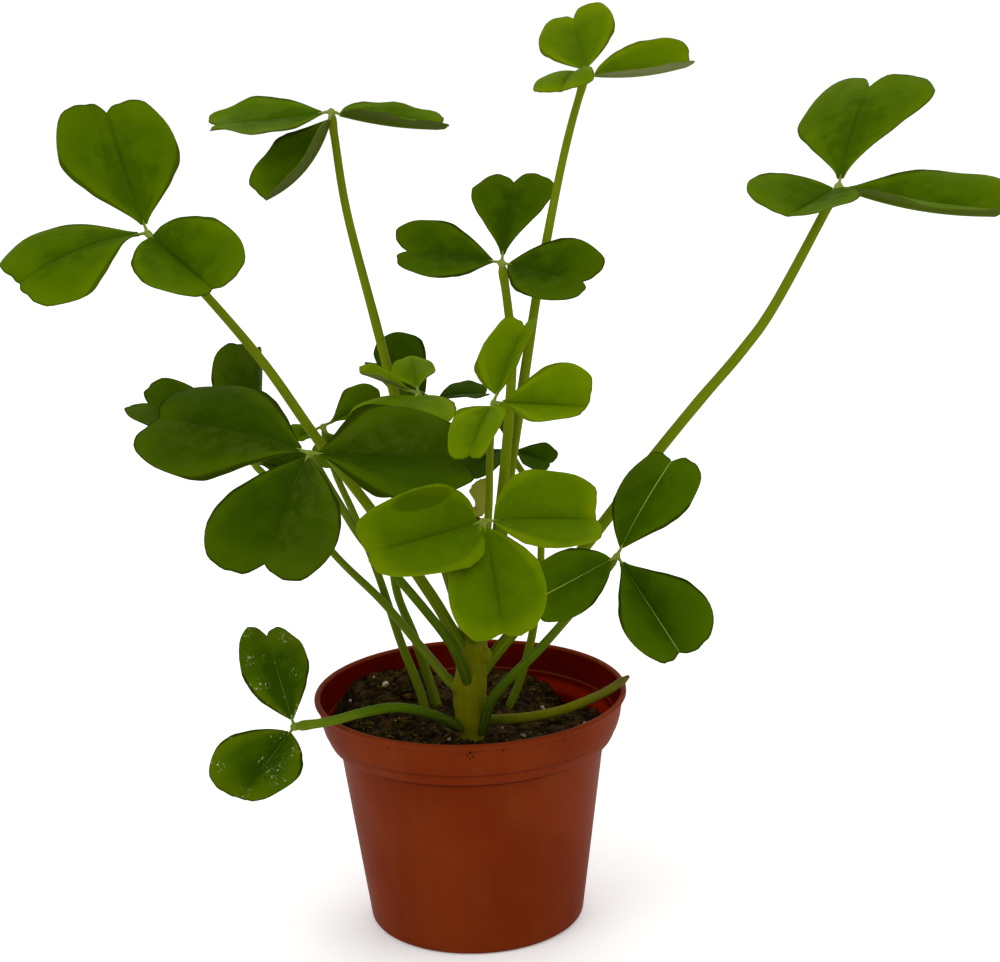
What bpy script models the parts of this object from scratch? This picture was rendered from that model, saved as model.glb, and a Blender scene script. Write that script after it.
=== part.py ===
"""Potted tree oxalis in a plastic nursery pot.

A fleshy trunk stands in peaty soil. Long stalks leave it, or come up beside it, and each carries a
clover-like leaf of heart-shaped leaflets. One cut stalk rests on the rim.

Units are metres, with +Z up. The origin is the middle of the pot's underside. The front is -Y.
Run it with: blender --background --python part.py
"""

import math
from dataclasses import dataclass

import bmesh
import bpy
from mathutils import Matrix, Vector

# Sizes below are written in millimetres and scaled here, angles in degrees.
MM = 0.001

# Pot: a nursery pot with a rolled lip, a deep collar and a tapering body
RIM_RADIUS = 52.5
POT_HEIGHT = 80.2
COLLAR_HEIGHT = 15.7
COLLAR_RADIUS = 47.8
BODY_TOP_RADIUS = 44.6
FOOT_RADIUS = 36.4
FOOT_ROUNDING = 2.0
LIP_RADIUS = 1.0
WALL = 1.2
FLOOR = 1.8
POT_SIDES = 32
DRAIN_HOLES = 8
DRAIN_RADIUS = 3.5
DRAIN_RING = 24.0

# Soil: fills the pot to about 10 mm under the lip
SOIL_LEVEL = 69.8
SOIL_RADIUS = 46.0
SOIL_RINGS = 6
SOIL_SIDES = POT_SIDES
SOIL_BUMPS = (  # x, y, height and spread of each rise or dip of its top
    (-26.0, 26.0, 7.5, 12.0),
    (0.0, -19.0, 1.6, 9.0),
    (40.0, 8.0, -2.4, 16.0),
    (-14.0, -33.0, -0.9, 12.0),
    (4.0, 36.0, 1.6, 9.0),
)

# Gap between pieces that touch
GAP = 0.3

# Stalks: their number of segments, and how far along a root its hole is cut
STALK_SEGMENTS = 10
SOCKET_LENGTH = 14.0
SOIL_HOLE_LENGTH = 22.0

# Leaves
BLADE_THICKNESS = 0.75
BLADE_ROWS = 4
BLADE_COLUMNS = 6
LOBE = 0.48  # place of each lobe's tip, as a share of the half width
ROOT_WIDTH = 0.05  # width of a blade where it starts, as a share of its widest
HUB_RADIUS = 1.9
RIBLET_LENGTH = 3.0  # bare rib between the hub's middle and the blade
RIBLET_RADII = (1.2, 0.8)


@dataclass(frozen=True)
class Leaflet:
    """One heart-shaped blade, folded along its midrib."""

    turn: float  # direction of the midrib in the leaf's plane
    lift: float  # rise of the tip out of that plane
    length: float  # from the hub to the end of the lobes
    width: float
    roll: float = 0.0  # turn about the midrib
    fold: float = 12.0  # rise of each half from the midrib, like a V
    curl: float = -10.0  # how far a half bends down again before its edge
    droop: float = 16.0  # bend of the midrib from base to tip
    twist: float = 0.0
    shoulder: float = 0.6  # reach of the blade's outer corners, as a share of its length
    taper: float = 1.6  # over 1 is a narrow base, under 1 a full one
    notch: float = 0.08


@dataclass(frozen=True)
class Leaf:
    """A leaf of two or three leaflets on one stalk."""

    hub: tuple  # where the leaflets meet
    faces: tuple  # heading and rise of the way its upper side looks
    leaflets: tuple
    route: tuple  # points of its stalk, from its root, without the hub
    radii: tuple  # of the stalk, at its root and at the hub
    in_soil: bool = False  # its stalk comes up through the soil, beside the trunk


TRUNK_ROUTE = (
    (0.5, -20, 57), (0.5, -20, 71), (0, -20, 83), (1, -17, 96), (2.3, -14, 109), (3.4, -10, 125),
    (4.3, -6, 141),
)
TRUNK_RADII = (5.2, 2.6)
TRUNK_SEGMENTS = 18
TRUNK_SWELLING = 0.07  # of its radius, at each old leaf's scar
TRUNK_SCAR_SPACING = 11.0

TIP_BUDS = (  # lower end, upper end and radius of each young leaf on top of the trunk
    ((3.9, -6.2, 142.6), (1.6, -7.0, 153.5), 1.5),
    ((4.8, -5.4, 142.6), (7.2, -5.0, 152.0), 1.4),
    ((4.4, -6.6, 142.6), (4.6, -9.2, 149.5), 1.3),
)

STUB_ROUTE = (
    (3.4, -17.4, 75.4), (9, -18.6, 75.9), (19.5, -21.8, 77.7), (31, -20, 79.3), (43, -12, 81),
    (49, -6, 82.2), (53.5, -1, 83.4),
)
STUB_RADII = (1.8, 1.5)

LEAVES = {
    "left_high": Leaf(
        hub=(-95, -20, 241),
        faces=(-95, 38),
        leaflets=(
            Leaflet(
                110, 18, 44, 44, roll=28, fold=8, curl=-16, droop=-4, twist=14,
                shoulder=0.61, taper=1.25, notch=0.09,
            ),
            Leaflet(
                -145, 15, 48, 40, roll=21, fold=14, curl=-42, droop=42, shoulder=0.67,
                taper=1.7, notch=0.03,
            ),
            Leaflet(
                -47, 20, 43.5, 35, roll=2, fold=34, curl=-19, droop=8, twist=-16,
                shoulder=0.63, taper=0.68, notch=0.1,
            ),
        ),
        route=(
            (-1, -17.6, 99.5), (-5.6, -19, 109), (-12, -20, 121.3), (-28, -22, 148), (-45, -24, 174),
            (-60.5, -24, 199), (-78, -22, 221.5),
        ),
        radii=(2.0, 1.3),
    ),
    "left_top": Leaf(
        hub=(-39, 25, 272),
        faces=(-95, 80),
        leaflets=(
            Leaflet(-166, -2, 39.5, 34, roll=-15, fold=5, curl=1, droop=3, twist=20, taper=1.1),
            Leaflet(
                -123, -28, 42, 27.5, roll=24, fold=40, curl=2, droop=-44, twist=-20,
                shoulder=0.38, taper=0.95, notch=0.02,
            ),
            Leaflet(
                13, -14, 37.5, 27, roll=-10, fold=35, curl=-28, droop=-9, twist=9,
                shoulder=0.42, taper=0.72,
            ),
        ),
        route=(
            (-0.2, -13.9, 104.5), (-6, -4, 122), (-11.5, 2, 137.5), (-18, 10, 159.5), (-23, 14, 177.5),
            (-27.5, 18, 202), (-34.5, 23, 238.5), (-38, 27, 263),
        ),
        radii=(2.0, 1.3),
    ),
    "right_top": Leaf(
        hub=(44, 20, 282),
        faces=(-80, 78),
        leaflets=(
            Leaflet(
                86, 18, 35.5, 26.5, roll=-17, fold=7, curl=-14, droop=3, twist=-10,
                taper=0.87, notch=0.13,
            ),
            Leaflet(
                -4, 4, 35.5, 30, roll=3, fold=31, curl=-8, droop=-17, twist=-3,
                shoulder=0.66, taper=0.76,
            ),
            Leaflet(
                -120, 0, 26.5, 21, roll=18, fold=25, curl=-45, droop=50, twist=-5,
                shoulder=0.77, taper=1.57, notch=0.04,
            ),
        ),
        route=(
            (2.6, -14.6, 98.5), (10.5, -2, 125.5), (15, 4, 151.5), (20.5, 10, 180.5), (26.5, 14, 213),
            (33.5, 17, 245), (38.5, 19, 264.5),
        ),
        radii=(2.2, 1.2),
    ),
    "right_high": Leaf(
        hub=(123, 0, 246),
        faces=(-80, 82),
        leaflets=(
            Leaflet(
                58, 27, 55, 40, roll=-14, fold=-3, curl=-12, droop=30, twist=3,
                shoulder=0.74, taper=1.1, notch=0.15,
            ),
            Leaflet(-136, -3, 36, 38, roll=-2, fold=24, droop=2, taper=0.7),
            Leaflet(
                -29, -5, 54, 46, roll=-1, fold=40, curl=-42, droop=-19, twist=2,
                shoulder=0.59, taper=1.2,
            ),
        ),
        route=(
            (3.2, -18.2, 91.5), (7.6, -16, 96.6), (13.2, -14, 102.6), (24.5, -10, 114), (39.5, -8, 131.5),
            (51, -6, 145.5), (63, -4, 160.5), (78, -2, 178), (92, 0, 193.5), (103, 0, 209),
        ),
        radii=(2.2, 1.5),
    ),
    "middle_high": Leaf(
        hub=(15, 10, 223),
        faces=(-90, 55),
        leaflets=(
            Leaflet(81, 8, 37, 28, roll=-9, fold=1, curl=-11, droop=22, shoulder=0.8, taper=1.3),
            Leaflet(181, 12, 35, 29, curl=-9, twist=7, taper=1.1),
            Leaflet(-37, 16, 37, 29, roll=5, fold=14, curl=-5, droop=11, shoulder=0.55, taper=0.95),
        ),
        route=(
            (4.7, -12.1, 116), (8.5, -8, 124), (13, -2, 150), (16, 4, 175), (17.5, 8, 194.5),
            (16.5, 10, 209),
        ),
        radii=(2.0, 1.4),
    ),
    "middle_bright": Leaf(
        hub=(11, -35, 187),
        faces=(-70, 50),
        leaflets=(
            Leaflet(
                55, 10, 32.5, 20, roll=-44, fold=21, curl=14, droop=12, twist=5,
                shoulder=0.3, taper=0.91, notch=0.09,
            ),
            Leaflet(
                -38, 29, 32.5, 28, roll=2, fold=36, curl=-23, droop=6, shoulder=0.58,
                taper=1.45, notch=0.03,
            ),
            Leaflet(-124, 10, 31, 18, roll=30, fold=22, curl=-14, droop=27, shoulder=0.25, taper=1.07),
        ),
        route=((2.6, -15.9, 107.5), (5, -30, 125), (7, -41, 141), (8.5, -42, 156), (9.5, -38, 174)),
        radii=(1.5, 1.1),
    ),
    "front_bright": Leaf(
        hub=(7, -85, 163),
        faces=(-80, 45),
        leaflets=(
            Leaflet(
                -5, 0, 34, 35, roll=-19, fold=26, curl=-25, droop=14, twist=3,
                shoulder=0.42, taper=0.63, notch=0.02,
            ),
            Leaflet(
                -91, 6, 42, 30.5, roll=1, fold=22, curl=5, droop=22, twist=12,
                shoulder=0.69, taper=0.96, notch=0.05,
            ),
            Leaflet(
                203, 20, 45, 29, roll=-22, fold=24, curl=3, droop=17, twist=14,
                shoulder=0.4, taper=0.53, notch=0.06,
            ),
        ),
        route=((1.7, -17.4, 103), (3, -39, 119), (6, -58, 133), (8, -73, 147)),
        radii=(1.7, 1.3),
    ),
    "left_dark": Leaf(
        hub=(-45, -60, 179),
        faces=(-80, 45),
        leaflets=(
            Leaflet(
                152, -14, 53, 46, roll=12, fold=8, curl=-30, droop=24, twist=4,
                shoulder=0.55, taper=1.2, notch=0.03,
            ),
            Leaflet(
                -113, 10, 51.5, 40, roll=14, fold=11, curl=-9, droop=24, twist=-3,
                shoulder=0.7, taper=1, notch=0.1,
            ),
            Leaflet(
                -4, -7, 49, 39, roll=-9, fold=17, curl=-17, droop=2, twist=-6,
                shoulder=0.39, taper=1.29, notch=0.05,
            ),
        ),
        route=(
            (0.2, -21.5, 88), (-2.2, -25, 97.5), (-5.6, -28, 106.6), (-11.5, -32, 116.9),
            (-21.2, -39, 132.5), (-31, -46, 147), (-38, -52, 162),
        ),
        radii=(1.8, 1.2),
    ),
    "right_dark": Leaf(
        hub=(48, -45, 139),
        faces=(-70, 35),
        leaflets=(
            Leaflet(50, 3, 41, 29, roll=-38, fold=2, curl=-28, droop=20, taper=1),
            Leaflet(-160, 8, 36, 22, roll=-18, droop=14, taper=0.8),
            Leaflet(-79, 17, 42, 33, roll=11, fold=38, curl=-9, droop=4, shoulder=0.7, taper=1.3),
        ),
        route=(
            (3.4, -22.3, 73.2), (5, -24, 78.6), (6.5, -25.2, 84), (8.8, -26.4, 88), (13.4, -28, 93.7),
            (24, -34, 106.3), (37, -42, 124),
        ),
        radii=(2.1, 1.2),
    ),
    "back_left": Leaf(
        hub=(-74, 45, 150),
        faces=(-60, 50),
        leaflets=(
            Leaflet(
                76, 36, 41, 38, roll=48, fold=-5, curl=-45, droop=11, twist=-4,
                shoulder=0.69, taper=1.03, notch=0.06,
            ),
            Leaflet(
                130, -3, 46, 31, roll=8, fold=12, curl=-3, droop=25, twist=2, shoulder=0.78,
                taper=1.65, notch=0.11,
            ),
            Leaflet(-20, -10, 22, 20, fold=20),
        ),
        route=(
            (-2.4, -18, 87.4), (-5.8, -17.4, 88.6), (-11.8, -10, 93.8), (-19, 0, 99.8), (-29.5, 12, 109),
            (-44.5, 24, 121), (-60.5, 38, 137.5),
        ),
        radii=(1.6, 1.1),
    ),
    "low_left": Leaf(
        hub=(-57, -30, 80),
        faces=(-70, 45),
        leaflets=(
            Leaflet(
                88, -14, 42, 23, roll=-20, fold=2, curl=-13, droop=19, twist=25,
                shoulder=0.58, taper=0.96, notch=0.03,
            ),
            Leaflet(
                224, 4, 33.5, 32, roll=12, fold=28, curl=-19, droop=10, twist=17,
                shoulder=0.62, taper=0.93, notch=0.02,
            ),
        ),
        route=((-3.5, -23, 75.5), (-13, -30, 83), (-23, -34, 87), (-33.5, -36, 86.5), (-45, -34, 83)),
        radii=(2.0, 1.6),
    ),
    "middle_small": Leaf(
        hub=(-13.2, -8, 184.4),
        faces=(-85, 62),
        leaflets=(
            Leaflet(
                91, -13, 26, 16, roll=-12, fold=0, curl=-40, droop=19, twist=12,
                shoulder=0.67, taper=1.35, notch=0.02,
            ),
            Leaflet(
                170, 20, 20.5, 12, roll=21, fold=23, curl=3, droop=13, twist=6,
                shoulder=0.64, taper=1.7,
            ),
            Leaflet(-109, 15, 30, 35, roll=10, fold=10, curl=-16, droop=20, shoulder=0.61, taper=0.57),
        ),
        route=((-0.1, -13.6, 111.5), (-4, -13.4, 118), (-7.5, -11, 136), (-10.6, -9, 160)),
        radii=(1.6, 1.1),
    ),
    "back_right": Leaf(
        hub=(15, 45, 152),
        faces=(-80, 60),
        leaflets=(
            Leaflet(80, -5, 22.5, 10, roll=8, fold=15, curl=-8),
            Leaflet(-136, 11, 26.5, 14, roll=6, fold=9, droop=31, notch=0.12),
            Leaflet(-40, 4, 18, 14, fold=16),
        ),
        route=(
            (12, 13, 62), (13, 14, 68), (17, 18, 76.5), (22, 24, 92.5), (25.5, 34, 114.5),
            (24.5, 42, 134),
        ),
        radii=(1.6, 1.1),
        in_soil=True,
    ),
    "back_middle": Leaf(
        hub=(-11, 55, 168),
        faces=(-95, 62),
        leaflets=(
            Leaflet(
                164, 32, 26, 35, fold=17, curl=3, droop=21, twist=17, shoulder=0.56,
                taper=1, notch=0.14,
            ),
            Leaflet(11, -6, 20, 20, roll=-23, fold=24, curl=-25, droop=15, taper=0.94, notch=0.04),
            Leaflet(-120, 0, 26, 22, fold=14),
        ),
        route=(
            (-10, 9, 62), (-12, 10.5, 72), (-18.5, 20, 91.5), (-25, 30, 108), (-25.5, 40, 129),
            (-20.5, 50, 151),
        ),
        radii=(1.7, 1.1),
        in_soil=True,
    ),
    "back_small": Leaf(
        hub=(-48, 40, 163),
        faces=(-80, 62),
        leaflets=(
            Leaflet(22, 6, 24, 18, fold=22),
            Leaflet(205, -6, 11.5, 12, roll=13, fold=19, droop=19, notch=0.1),
            Leaflet(-80, -6, 20, 16, fold=14),
        ),
        route=(
            (-15, 3, 63), (-16.5, 4.5, 76), (-23.5, 12, 94.5), (-30.5, 20, 116), (-38, 28, 134.5),
            (-44.5, 35, 148.5),
        ),
        radii=(1.6, 1.1),
        in_soil=True,
    ),
}


def new_collection(name):
    """A collection in the scene."""
    collection = bpy.data.collections.new(name)
    bpy.context.scene.collection.children.link(collection)
    return collection


def finish(name, colour, roughness):
    """A material from a colour as it looks on screen, each channel from 0 to 255."""
    material = bpy.data.materials.new(name)
    material.use_nodes = True
    shader = material.node_tree.nodes["Principled BSDF"]
    linear = [(channel / 255) ** 2.2 for channel in colour]
    shader.inputs["Base Color"].default_value = (*linear, 1)
    shader.inputs["Roughness"].default_value = roughness
    shader.inputs["Metallic"].default_value = 0
    return material


def add_object(name, data, collection, material=None):
    """An object for a mesh or a curve, in a collection."""
    obj = bpy.data.objects.new(name, data)
    if material:
        data.materials.append(material)
    collection.objects.link(obj)
    return obj


def mesh_from(work, name):
    """A mesh made from a bmesh that was drawn in millimetres."""
    work.transform(Matrix.Scale(MM, 4))
    mesh = bpy.data.meshes.new(name)
    work.to_mesh(mesh)
    work.free()
    return mesh


def applied(obj, name, collection, material=None):
    """A mesh object that takes the place of obj, with its modifiers or its bevel made real."""
    bpy.context.view_layer.update()
    evaluated = obj.evaluated_get(bpy.context.evaluated_depsgraph_get())
    mesh = bpy.data.meshes.new_from_object(evaluated)
    mesh.name = name
    work = bmesh.new()
    work.from_mesh(mesh)
    bmesh.ops.remove_doubles(work, verts=work.verts, dist=0.001 * MM)
    work.to_mesh(mesh)
    work.free()
    mesh.materials.clear()
    obj.name = "source"
    made = add_object(name, mesh, collection, material)
    made.matrix_world = obj.matrix_world
    bpy.data.objects.remove(obj)
    return made


def boolean(obj, other, operation):
    """A Boolean modifier with an object or, for a union of many, a collection."""
    modifier = obj.modifiers.new(operation.title(), "BOOLEAN")
    modifier.operation = operation
    modifier.solver = "EXACT"
    if isinstance(other, bpy.types.Collection):
        modifier.operand_type = "COLLECTION"
        modifier.collection = other
    else:
        modifier.object = other


def hide_helper(obj):
    """Marks a cutter as no part of the object."""
    obj.hide_render = True
    obj.display_type = "WIRE"


def smooth_route(points, segments):
    """Evenly spaced points on a smooth curve through the given ones."""
    knots = [Vector(point) for point in points]
    knots = [2 * knots[0] - knots[1], *knots, 2 * knots[-1] - knots[-2]]
    dense = []
    for before, start, end, after in zip(knots, knots[1:], knots[2:], knots[3:]):
        for step in range(12):
            t = step / 12
            dense.append(
                0.5 * (2 * start + (end - before) * t + (2 * before - 5 * start + 4 * end - after) * t**2
                       + (3 * start - before - 3 * end + after) * t**3)
            )
    dense.append(knots[-2])
    reach = [0.0]
    for here, there in zip(dense, dense[1:]):
        reach.append(reach[-1] + (there - here).length)
    route = []
    at = 0
    for step in range(segments + 1):
        goal = reach[-1] * step / segments
        while at < len(reach) - 2 and reach[at + 1] < goal:
            at += 1
        share = (goal - reach[at]) / (reach[at + 1] - reach[at])
        route.append(dense[at].lerp(dense[at + 1], share))
    return route


def tube(name, points, radii, collection, material=None):
    """A round stem along the points, with a radius at each of them."""
    curve = bpy.data.curves.new(name, "CURVE")
    curve.dimensions = "3D"
    curve.bevel_depth = max(radii) * MM
    curve.bevel_resolution = 2
    curve.use_fill_caps = True
    spline = curve.splines.new("POLY")
    spline.points.add(len(points) - 1)
    for knot, point, radius in zip(spline.points, points, radii):
        knot.co = (*(Vector(point) * MM), 1)
        knot.radius = radius / max(radii)
    return add_object(name, curve, collection, material)


def ramp(radii, count):
    """Radii that change evenly from the first value to the last."""
    return [radii[0] + (radii[1] - radii[0]) * step / (count - 1) for step in range(count)]


def stalk_route(leaf):
    """A stalk's points, from its root to just short of its leaf's hub."""
    hub = Vector(leaf.hub)
    last = Vector(leaf.route[-1])
    end = hub - (hub - last).normalized() * (HUB_RADIUS + 2 * GAP)
    return smooth_route([*leaf.route, end], STALK_SEGMENTS)


def cut_for(body, root, radius, reach, cutters):
    """Cuts the hole that a stem's root stands in, wider and deeper by the gap."""
    start = root[0] - (root[1] - root[0]).normalized() * GAP
    points = [start]
    length = 0.0
    for here, there in zip([start, *root], root):
        length += (there - here).length
        if length > reach:
            share = 1 - (length - reach) / (there - here).length
            points.append(here.lerp(there, share))
            break
        if length > GAP + 0.01:
            points.append(there)
    radii = [radius + GAP] * len(points)
    cutter = applied(tube("cutter", points, radii, cutters), f"cutter_{body.name}", cutters)
    hide_helper(cutter)
    boolean(body, cutter, "DIFFERENCE")


def arc_points(centre, radius, start, end, steps):
    """Points of an arc in the plane of a profile."""
    points = []
    for step in range(steps + 1):
        angle = math.radians(start + (end - start) * step / steps)
        points.append((centre[0] + radius * math.cos(angle), centre[1] + radius * math.sin(angle)))
    return points


def turned(name, profile, sides, collection, material):
    """A solid turned about the Z axis from a profile of radius and height."""
    work = bmesh.new()
    knots = [work.verts.new((radius, 0, height)) for radius, height in profile]
    for here, there in zip(knots, knots[1:]):
        work.edges.new((here, there))
    obj = add_object(name, mesh_from(work, name), collection, material)
    screw = obj.modifiers.new("Turn", "SCREW")
    screw.steps = sides
    screw.render_steps = sides
    screw.use_merge_vertices = True
    screw.merge_threshold = 0.00001
    return obj


def pot_inside():
    """The inside of the pot's wall, from the middle of the floor up to the lip."""
    collar_foot = POT_HEIGHT - COLLAR_HEIGHT
    return [
        (0, FLOOR),
        (FOOT_RADIUS - WALL - 1.6, FLOOR),
        (FOOT_RADIUS - WALL - 0.2, FLOOR + 1.5),
        (BODY_TOP_RADIUS - WALL - 0.2, collar_foot - 2.7),
        (BODY_TOP_RADIUS - 0.7, collar_foot - 0.7),
        (COLLAR_RADIUS - 0.4, collar_foot + 4.1),
        (COLLAR_RADIUS + 0.6, collar_foot + 6.0),
        (51.2 - WALL, POT_HEIGHT - 2.6),
    ]


def pot_profile():
    """Up the inside, over the lip and down the outside to the middle of the foot."""
    collar_foot = POT_HEIGHT - COLLAR_HEIGHT
    lip = (RIM_RADIUS - LIP_RADIUS, POT_HEIGHT - LIP_RADIUS)
    outside = [
        (51.2, POT_HEIGHT - 2.6),
        (50.4, 72),
        (49.2, collar_foot + 3.8),
        (COLLAR_RADIUS + 0.5, collar_foot + 1.5),
        (COLLAR_RADIUS, collar_foot + 0.7),
        (COLLAR_RADIUS - 0.6, collar_foot),
        (BODY_TOP_RADIUS + 0.6, collar_foot - 0.6),
        (BODY_TOP_RADIUS, collar_foot - 1.3),
    ]
    foot = arc_points((FOOT_RADIUS - FOOT_ROUNDING, FOOT_ROUNDING), FOOT_ROUNDING, -6, -90, 3)
    return [*pot_inside(), *arc_points(lip, LIP_RADIUS, 180, -60, 5), *outside, *foot, (0, 0)]


def inside_radius(height):
    """Radius of the pot's inside at a height."""
    wall = pot_inside()
    for (low_radius, low), (high_radius, high) in zip(wall, wall[1:]):
        if low < height <= high:
            return low_radius + (high_radius - low_radius) * (height - low) / (high - low)
    return wall[-1][0]


def make_pot(parts, cutters):
    """The pot, with its drain holes in a ring round the middle of the floor."""
    pot = turned("pot", pot_profile(), POT_SIDES, parts, finish("terracotta plastic", (112, 50, 28), 0.5))
    drill = bmesh.new()
    for hole in range(DRAIN_HOLES):
        angle = 2 * math.pi * hole / DRAIN_HOLES
        place = Matrix.Translation((DRAIN_RING * math.cos(angle), DRAIN_RING * math.sin(angle), FLOOR / 2))
        bmesh.ops.create_cone(
            drill, cap_ends=True, segments=12, radius1=DRAIN_RADIUS, radius2=DRAIN_RADIUS, depth=3 * FLOOR,
            matrix=place,
        )
    cutter = add_object("cutter_drain", mesh_from(drill, "cutter_drain"), cutters)
    hide_helper(cutter)
    boolean(pot, cutter, "DIFFERENCE")
    return pot


def soil_height(x, y):
    """Height of the soil's top."""
    height = SOIL_LEVEL + 0.35 * math.sin(0.31 * x + 1.2) * math.cos(0.27 * y)
    for bump_x, bump_y, rise, spread in SOIL_BUMPS:
        height += rise * math.exp(-((x - bump_x) ** 2 + (y - bump_y) ** 2) / (2 * spread**2))
    return height


def make_soil(parts):
    """The soil, which fills the pot down to its floor and has an uneven top."""
    bottom = FLOOR + GAP
    body_top = POT_HEIGHT - COLLAR_HEIGHT - 2.7
    top = [(SOIL_RADIUS * ring / SOIL_RINGS, SOIL_LEVEL) for ring in range(SOIL_RINGS + 1)]
    side = [
        (inside_radius(66.6) - 1.3 * GAP, 66.6),
        (inside_radius(body_top + 2.0) - 1.3 * GAP, body_top + 2.0),
        (inside_radius(body_top) - 1.1 * GAP, body_top - 0.2),
        (FOOT_RADIUS - WALL - 0.3 - GAP, bottom + 1.5),
        (FOOT_RADIUS - WALL - 1.9 - GAP, bottom),
        (0, bottom),
    ]
    rough = turned("soil", top + side, SOIL_SIDES, parts, None)
    soil = applied(rough, "soil", parts, finish("potting soil", (54, 38, 19), 0.95))
    for vertex in soil.data.vertices:
        if vertex.co.z > (SOIL_LEVEL - 0.1) * MM:
            reach = vertex.co.xy.length / MM
            vertex.co.z = soil_height(vertex.co.x / MM, vertex.co.y / MM) * MM
            if reach > SOIL_RADIUS - 0.1:  # its edge follows the wall
                vertex.co.xy *= (inside_radius(vertex.co.z / MM) - 1.4 * GAP) / reach
    return soil


def make_trunk(parts):
    """The trunk, with a slight swelling at each old leaf's scar."""
    points = smooth_route(TRUNK_ROUTE, TRUNK_SEGMENTS)
    radii = ramp(TRUNK_RADII, len(points))
    for at, point in enumerate(points):
        radii[at] *= 1 + TRUNK_SWELLING * math.cos(2 * math.pi * point.z / TRUNK_SCAR_SPACING)
    return applied(tube("trunk", points, radii, parts), "trunk", parts, finish("trunk", (72, 69, 12), 0.45))


def make_growing_tip(parts, helpers):
    """The folded young leaves on top of the trunk, grown together at their foot."""
    work = bmesh.new()
    foot = Vector(TRUNK_ROUTE[-1]) + Vector((0, 0, GAP + 1.6))
    bmesh.ops.create_cone(
        work, cap_ends=True, segments=8, radius1=TRUNK_RADII[1] - 0.4, radius2=1.2, depth=2.4,
        matrix=Matrix.Translation(foot),
    )
    tip = add_object("tip", mesh_from(work, "tip"), helpers)
    buds = new_collection("buds")
    for low, high, radius in TIP_BUDS:
        points = smooth_route((low, high), 4)
        radii = [radius * share for share in (0.8, 1, 1, 0.75, 0.25)]
        applied(tube("bud", points, radii, buds), "bud", buds)
    boolean(tip, buds, "UNION")
    made = applied(tip, "growing_tip", parts, finish("young growth", (118, 116, 52), 0.5))
    empty_collection(buds)
    return made


def empty_collection(collection):
    """Removes a collection with all that is in it."""
    for obj in list(collection.objects):
        bpy.data.objects.remove(obj)
    bpy.data.collections.remove(collection)


def arc_reach(length, start, bend):
    """Run and rise of an arc of this length that starts at an angle and turns by bend, in radians."""
    if abs(bend) < 0.001:
        return length * math.cos(start), length * math.sin(start)
    radius = length / bend
    end = start + bend
    return radius * (math.sin(end) - math.sin(start)), radius * (math.cos(start) - math.cos(end))


def heart(leaflet, s, v):
    """A blade's flat outline: shares of its length and half width, for s from 0 to 1 and v from -1 to 1."""
    off = abs(v)
    if off > LOBE:
        fall = ((off - LOBE) / (1 - LOBE)) ** 2
        reach = leaflet.shoulder + (1 - leaflet.shoulder) * math.sqrt(max(0, 1 - fall))
    else:
        reach = 1 - leaflet.notch * (1 - off / LOBE) ** 2
    spread = ROOT_WIDTH + (1 - ROOT_WIDTH) * math.sin(math.pi / 2 * s) ** leaflet.taper
    return s * reach, v * spread


def midrib_frame(leaf, leaflet):
    """Where a blade starts, the way its midrib sets off, its upper side's normal and its left."""
    heading, rise = (math.radians(angle) for angle in leaf.faces)
    normal = Vector(
        (math.cos(rise) * math.cos(heading), math.cos(rise) * math.sin(heading), math.sin(rise))
    )
    first = Vector((-math.sin(heading), math.cos(heading), 0))
    second = normal.cross(first)
    turn, lift, droop = (math.radians(angle) for angle in (leaflet.turn, leaflet.lift, leaflet.droop))
    flat = first * math.cos(turn) + second * math.sin(turn)
    chord = flat * math.cos(lift) + normal * math.sin(lift)
    across = Matrix.Rotation(math.radians(leaflet.roll), 3, chord) @ normal.cross(flat)
    upper = chord.cross(across)
    way = chord * math.cos(droop / 2) + upper * math.sin(droop / 2)
    above = upper * math.cos(droop / 2) - chord * math.sin(droop / 2)
    return Vector(leaf.hub) + way * RIBLET_LENGTH, way, above, across


def blade_point(leaf, leaflet, s, v):
    """A point of a blade in space: the heart folded along its midrib, drooping and curling."""
    start, way, above, across = midrib_frame(leaf, leaflet)
    along, aside = heart(leaflet, s, v)
    length = leaflet.length - RIBLET_LENGTH
    bend = -math.radians(leaflet.droop) * along
    run, rise = arc_reach(length * along, 0, bend)
    ahead = way * math.cos(bend) + above * math.sin(bend)
    left = Matrix.Rotation(math.radians(leaflet.twist) * along, 3, ahead) @ across
    up = ahead.cross(left)
    curl = math.radians(leaflet.curl) * abs(aside)
    out, over = arc_reach(abs(aside) * leaflet.width / 2, math.radians(leaflet.fold), curl)
    return start + way * run + above * rise + left * math.copysign(out, aside) + up * over


def make_blade(leaf, leaflet, collection):
    """One leaflet: a grid laid over the heart, split into triangles and given its thickness."""
    work = bmesh.new()
    bmesh.ops.create_grid(work, x_segments=BLADE_ROWS, y_segments=BLADE_COLUMNS, size=1)
    for vertex in work.verts:
        s = ((vertex.co.x + 1) / 2) ** 0.85
        v = math.sin(vertex.co.y * math.pi / 2)
        vertex.co = blade_point(leaf, leaflet, s, v)
    bmesh.ops.triangulate(work, faces=work.faces)
    blade = add_object("blade", mesh_from(work, "blade"), collection)
    wall = blade.modifiers.new("Thickness", "SOLIDIFY")
    wall.thickness = BLADE_THICKNESS * MM
    wall.offset = 0
    return applied(blade, "blade", collection)


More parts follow.
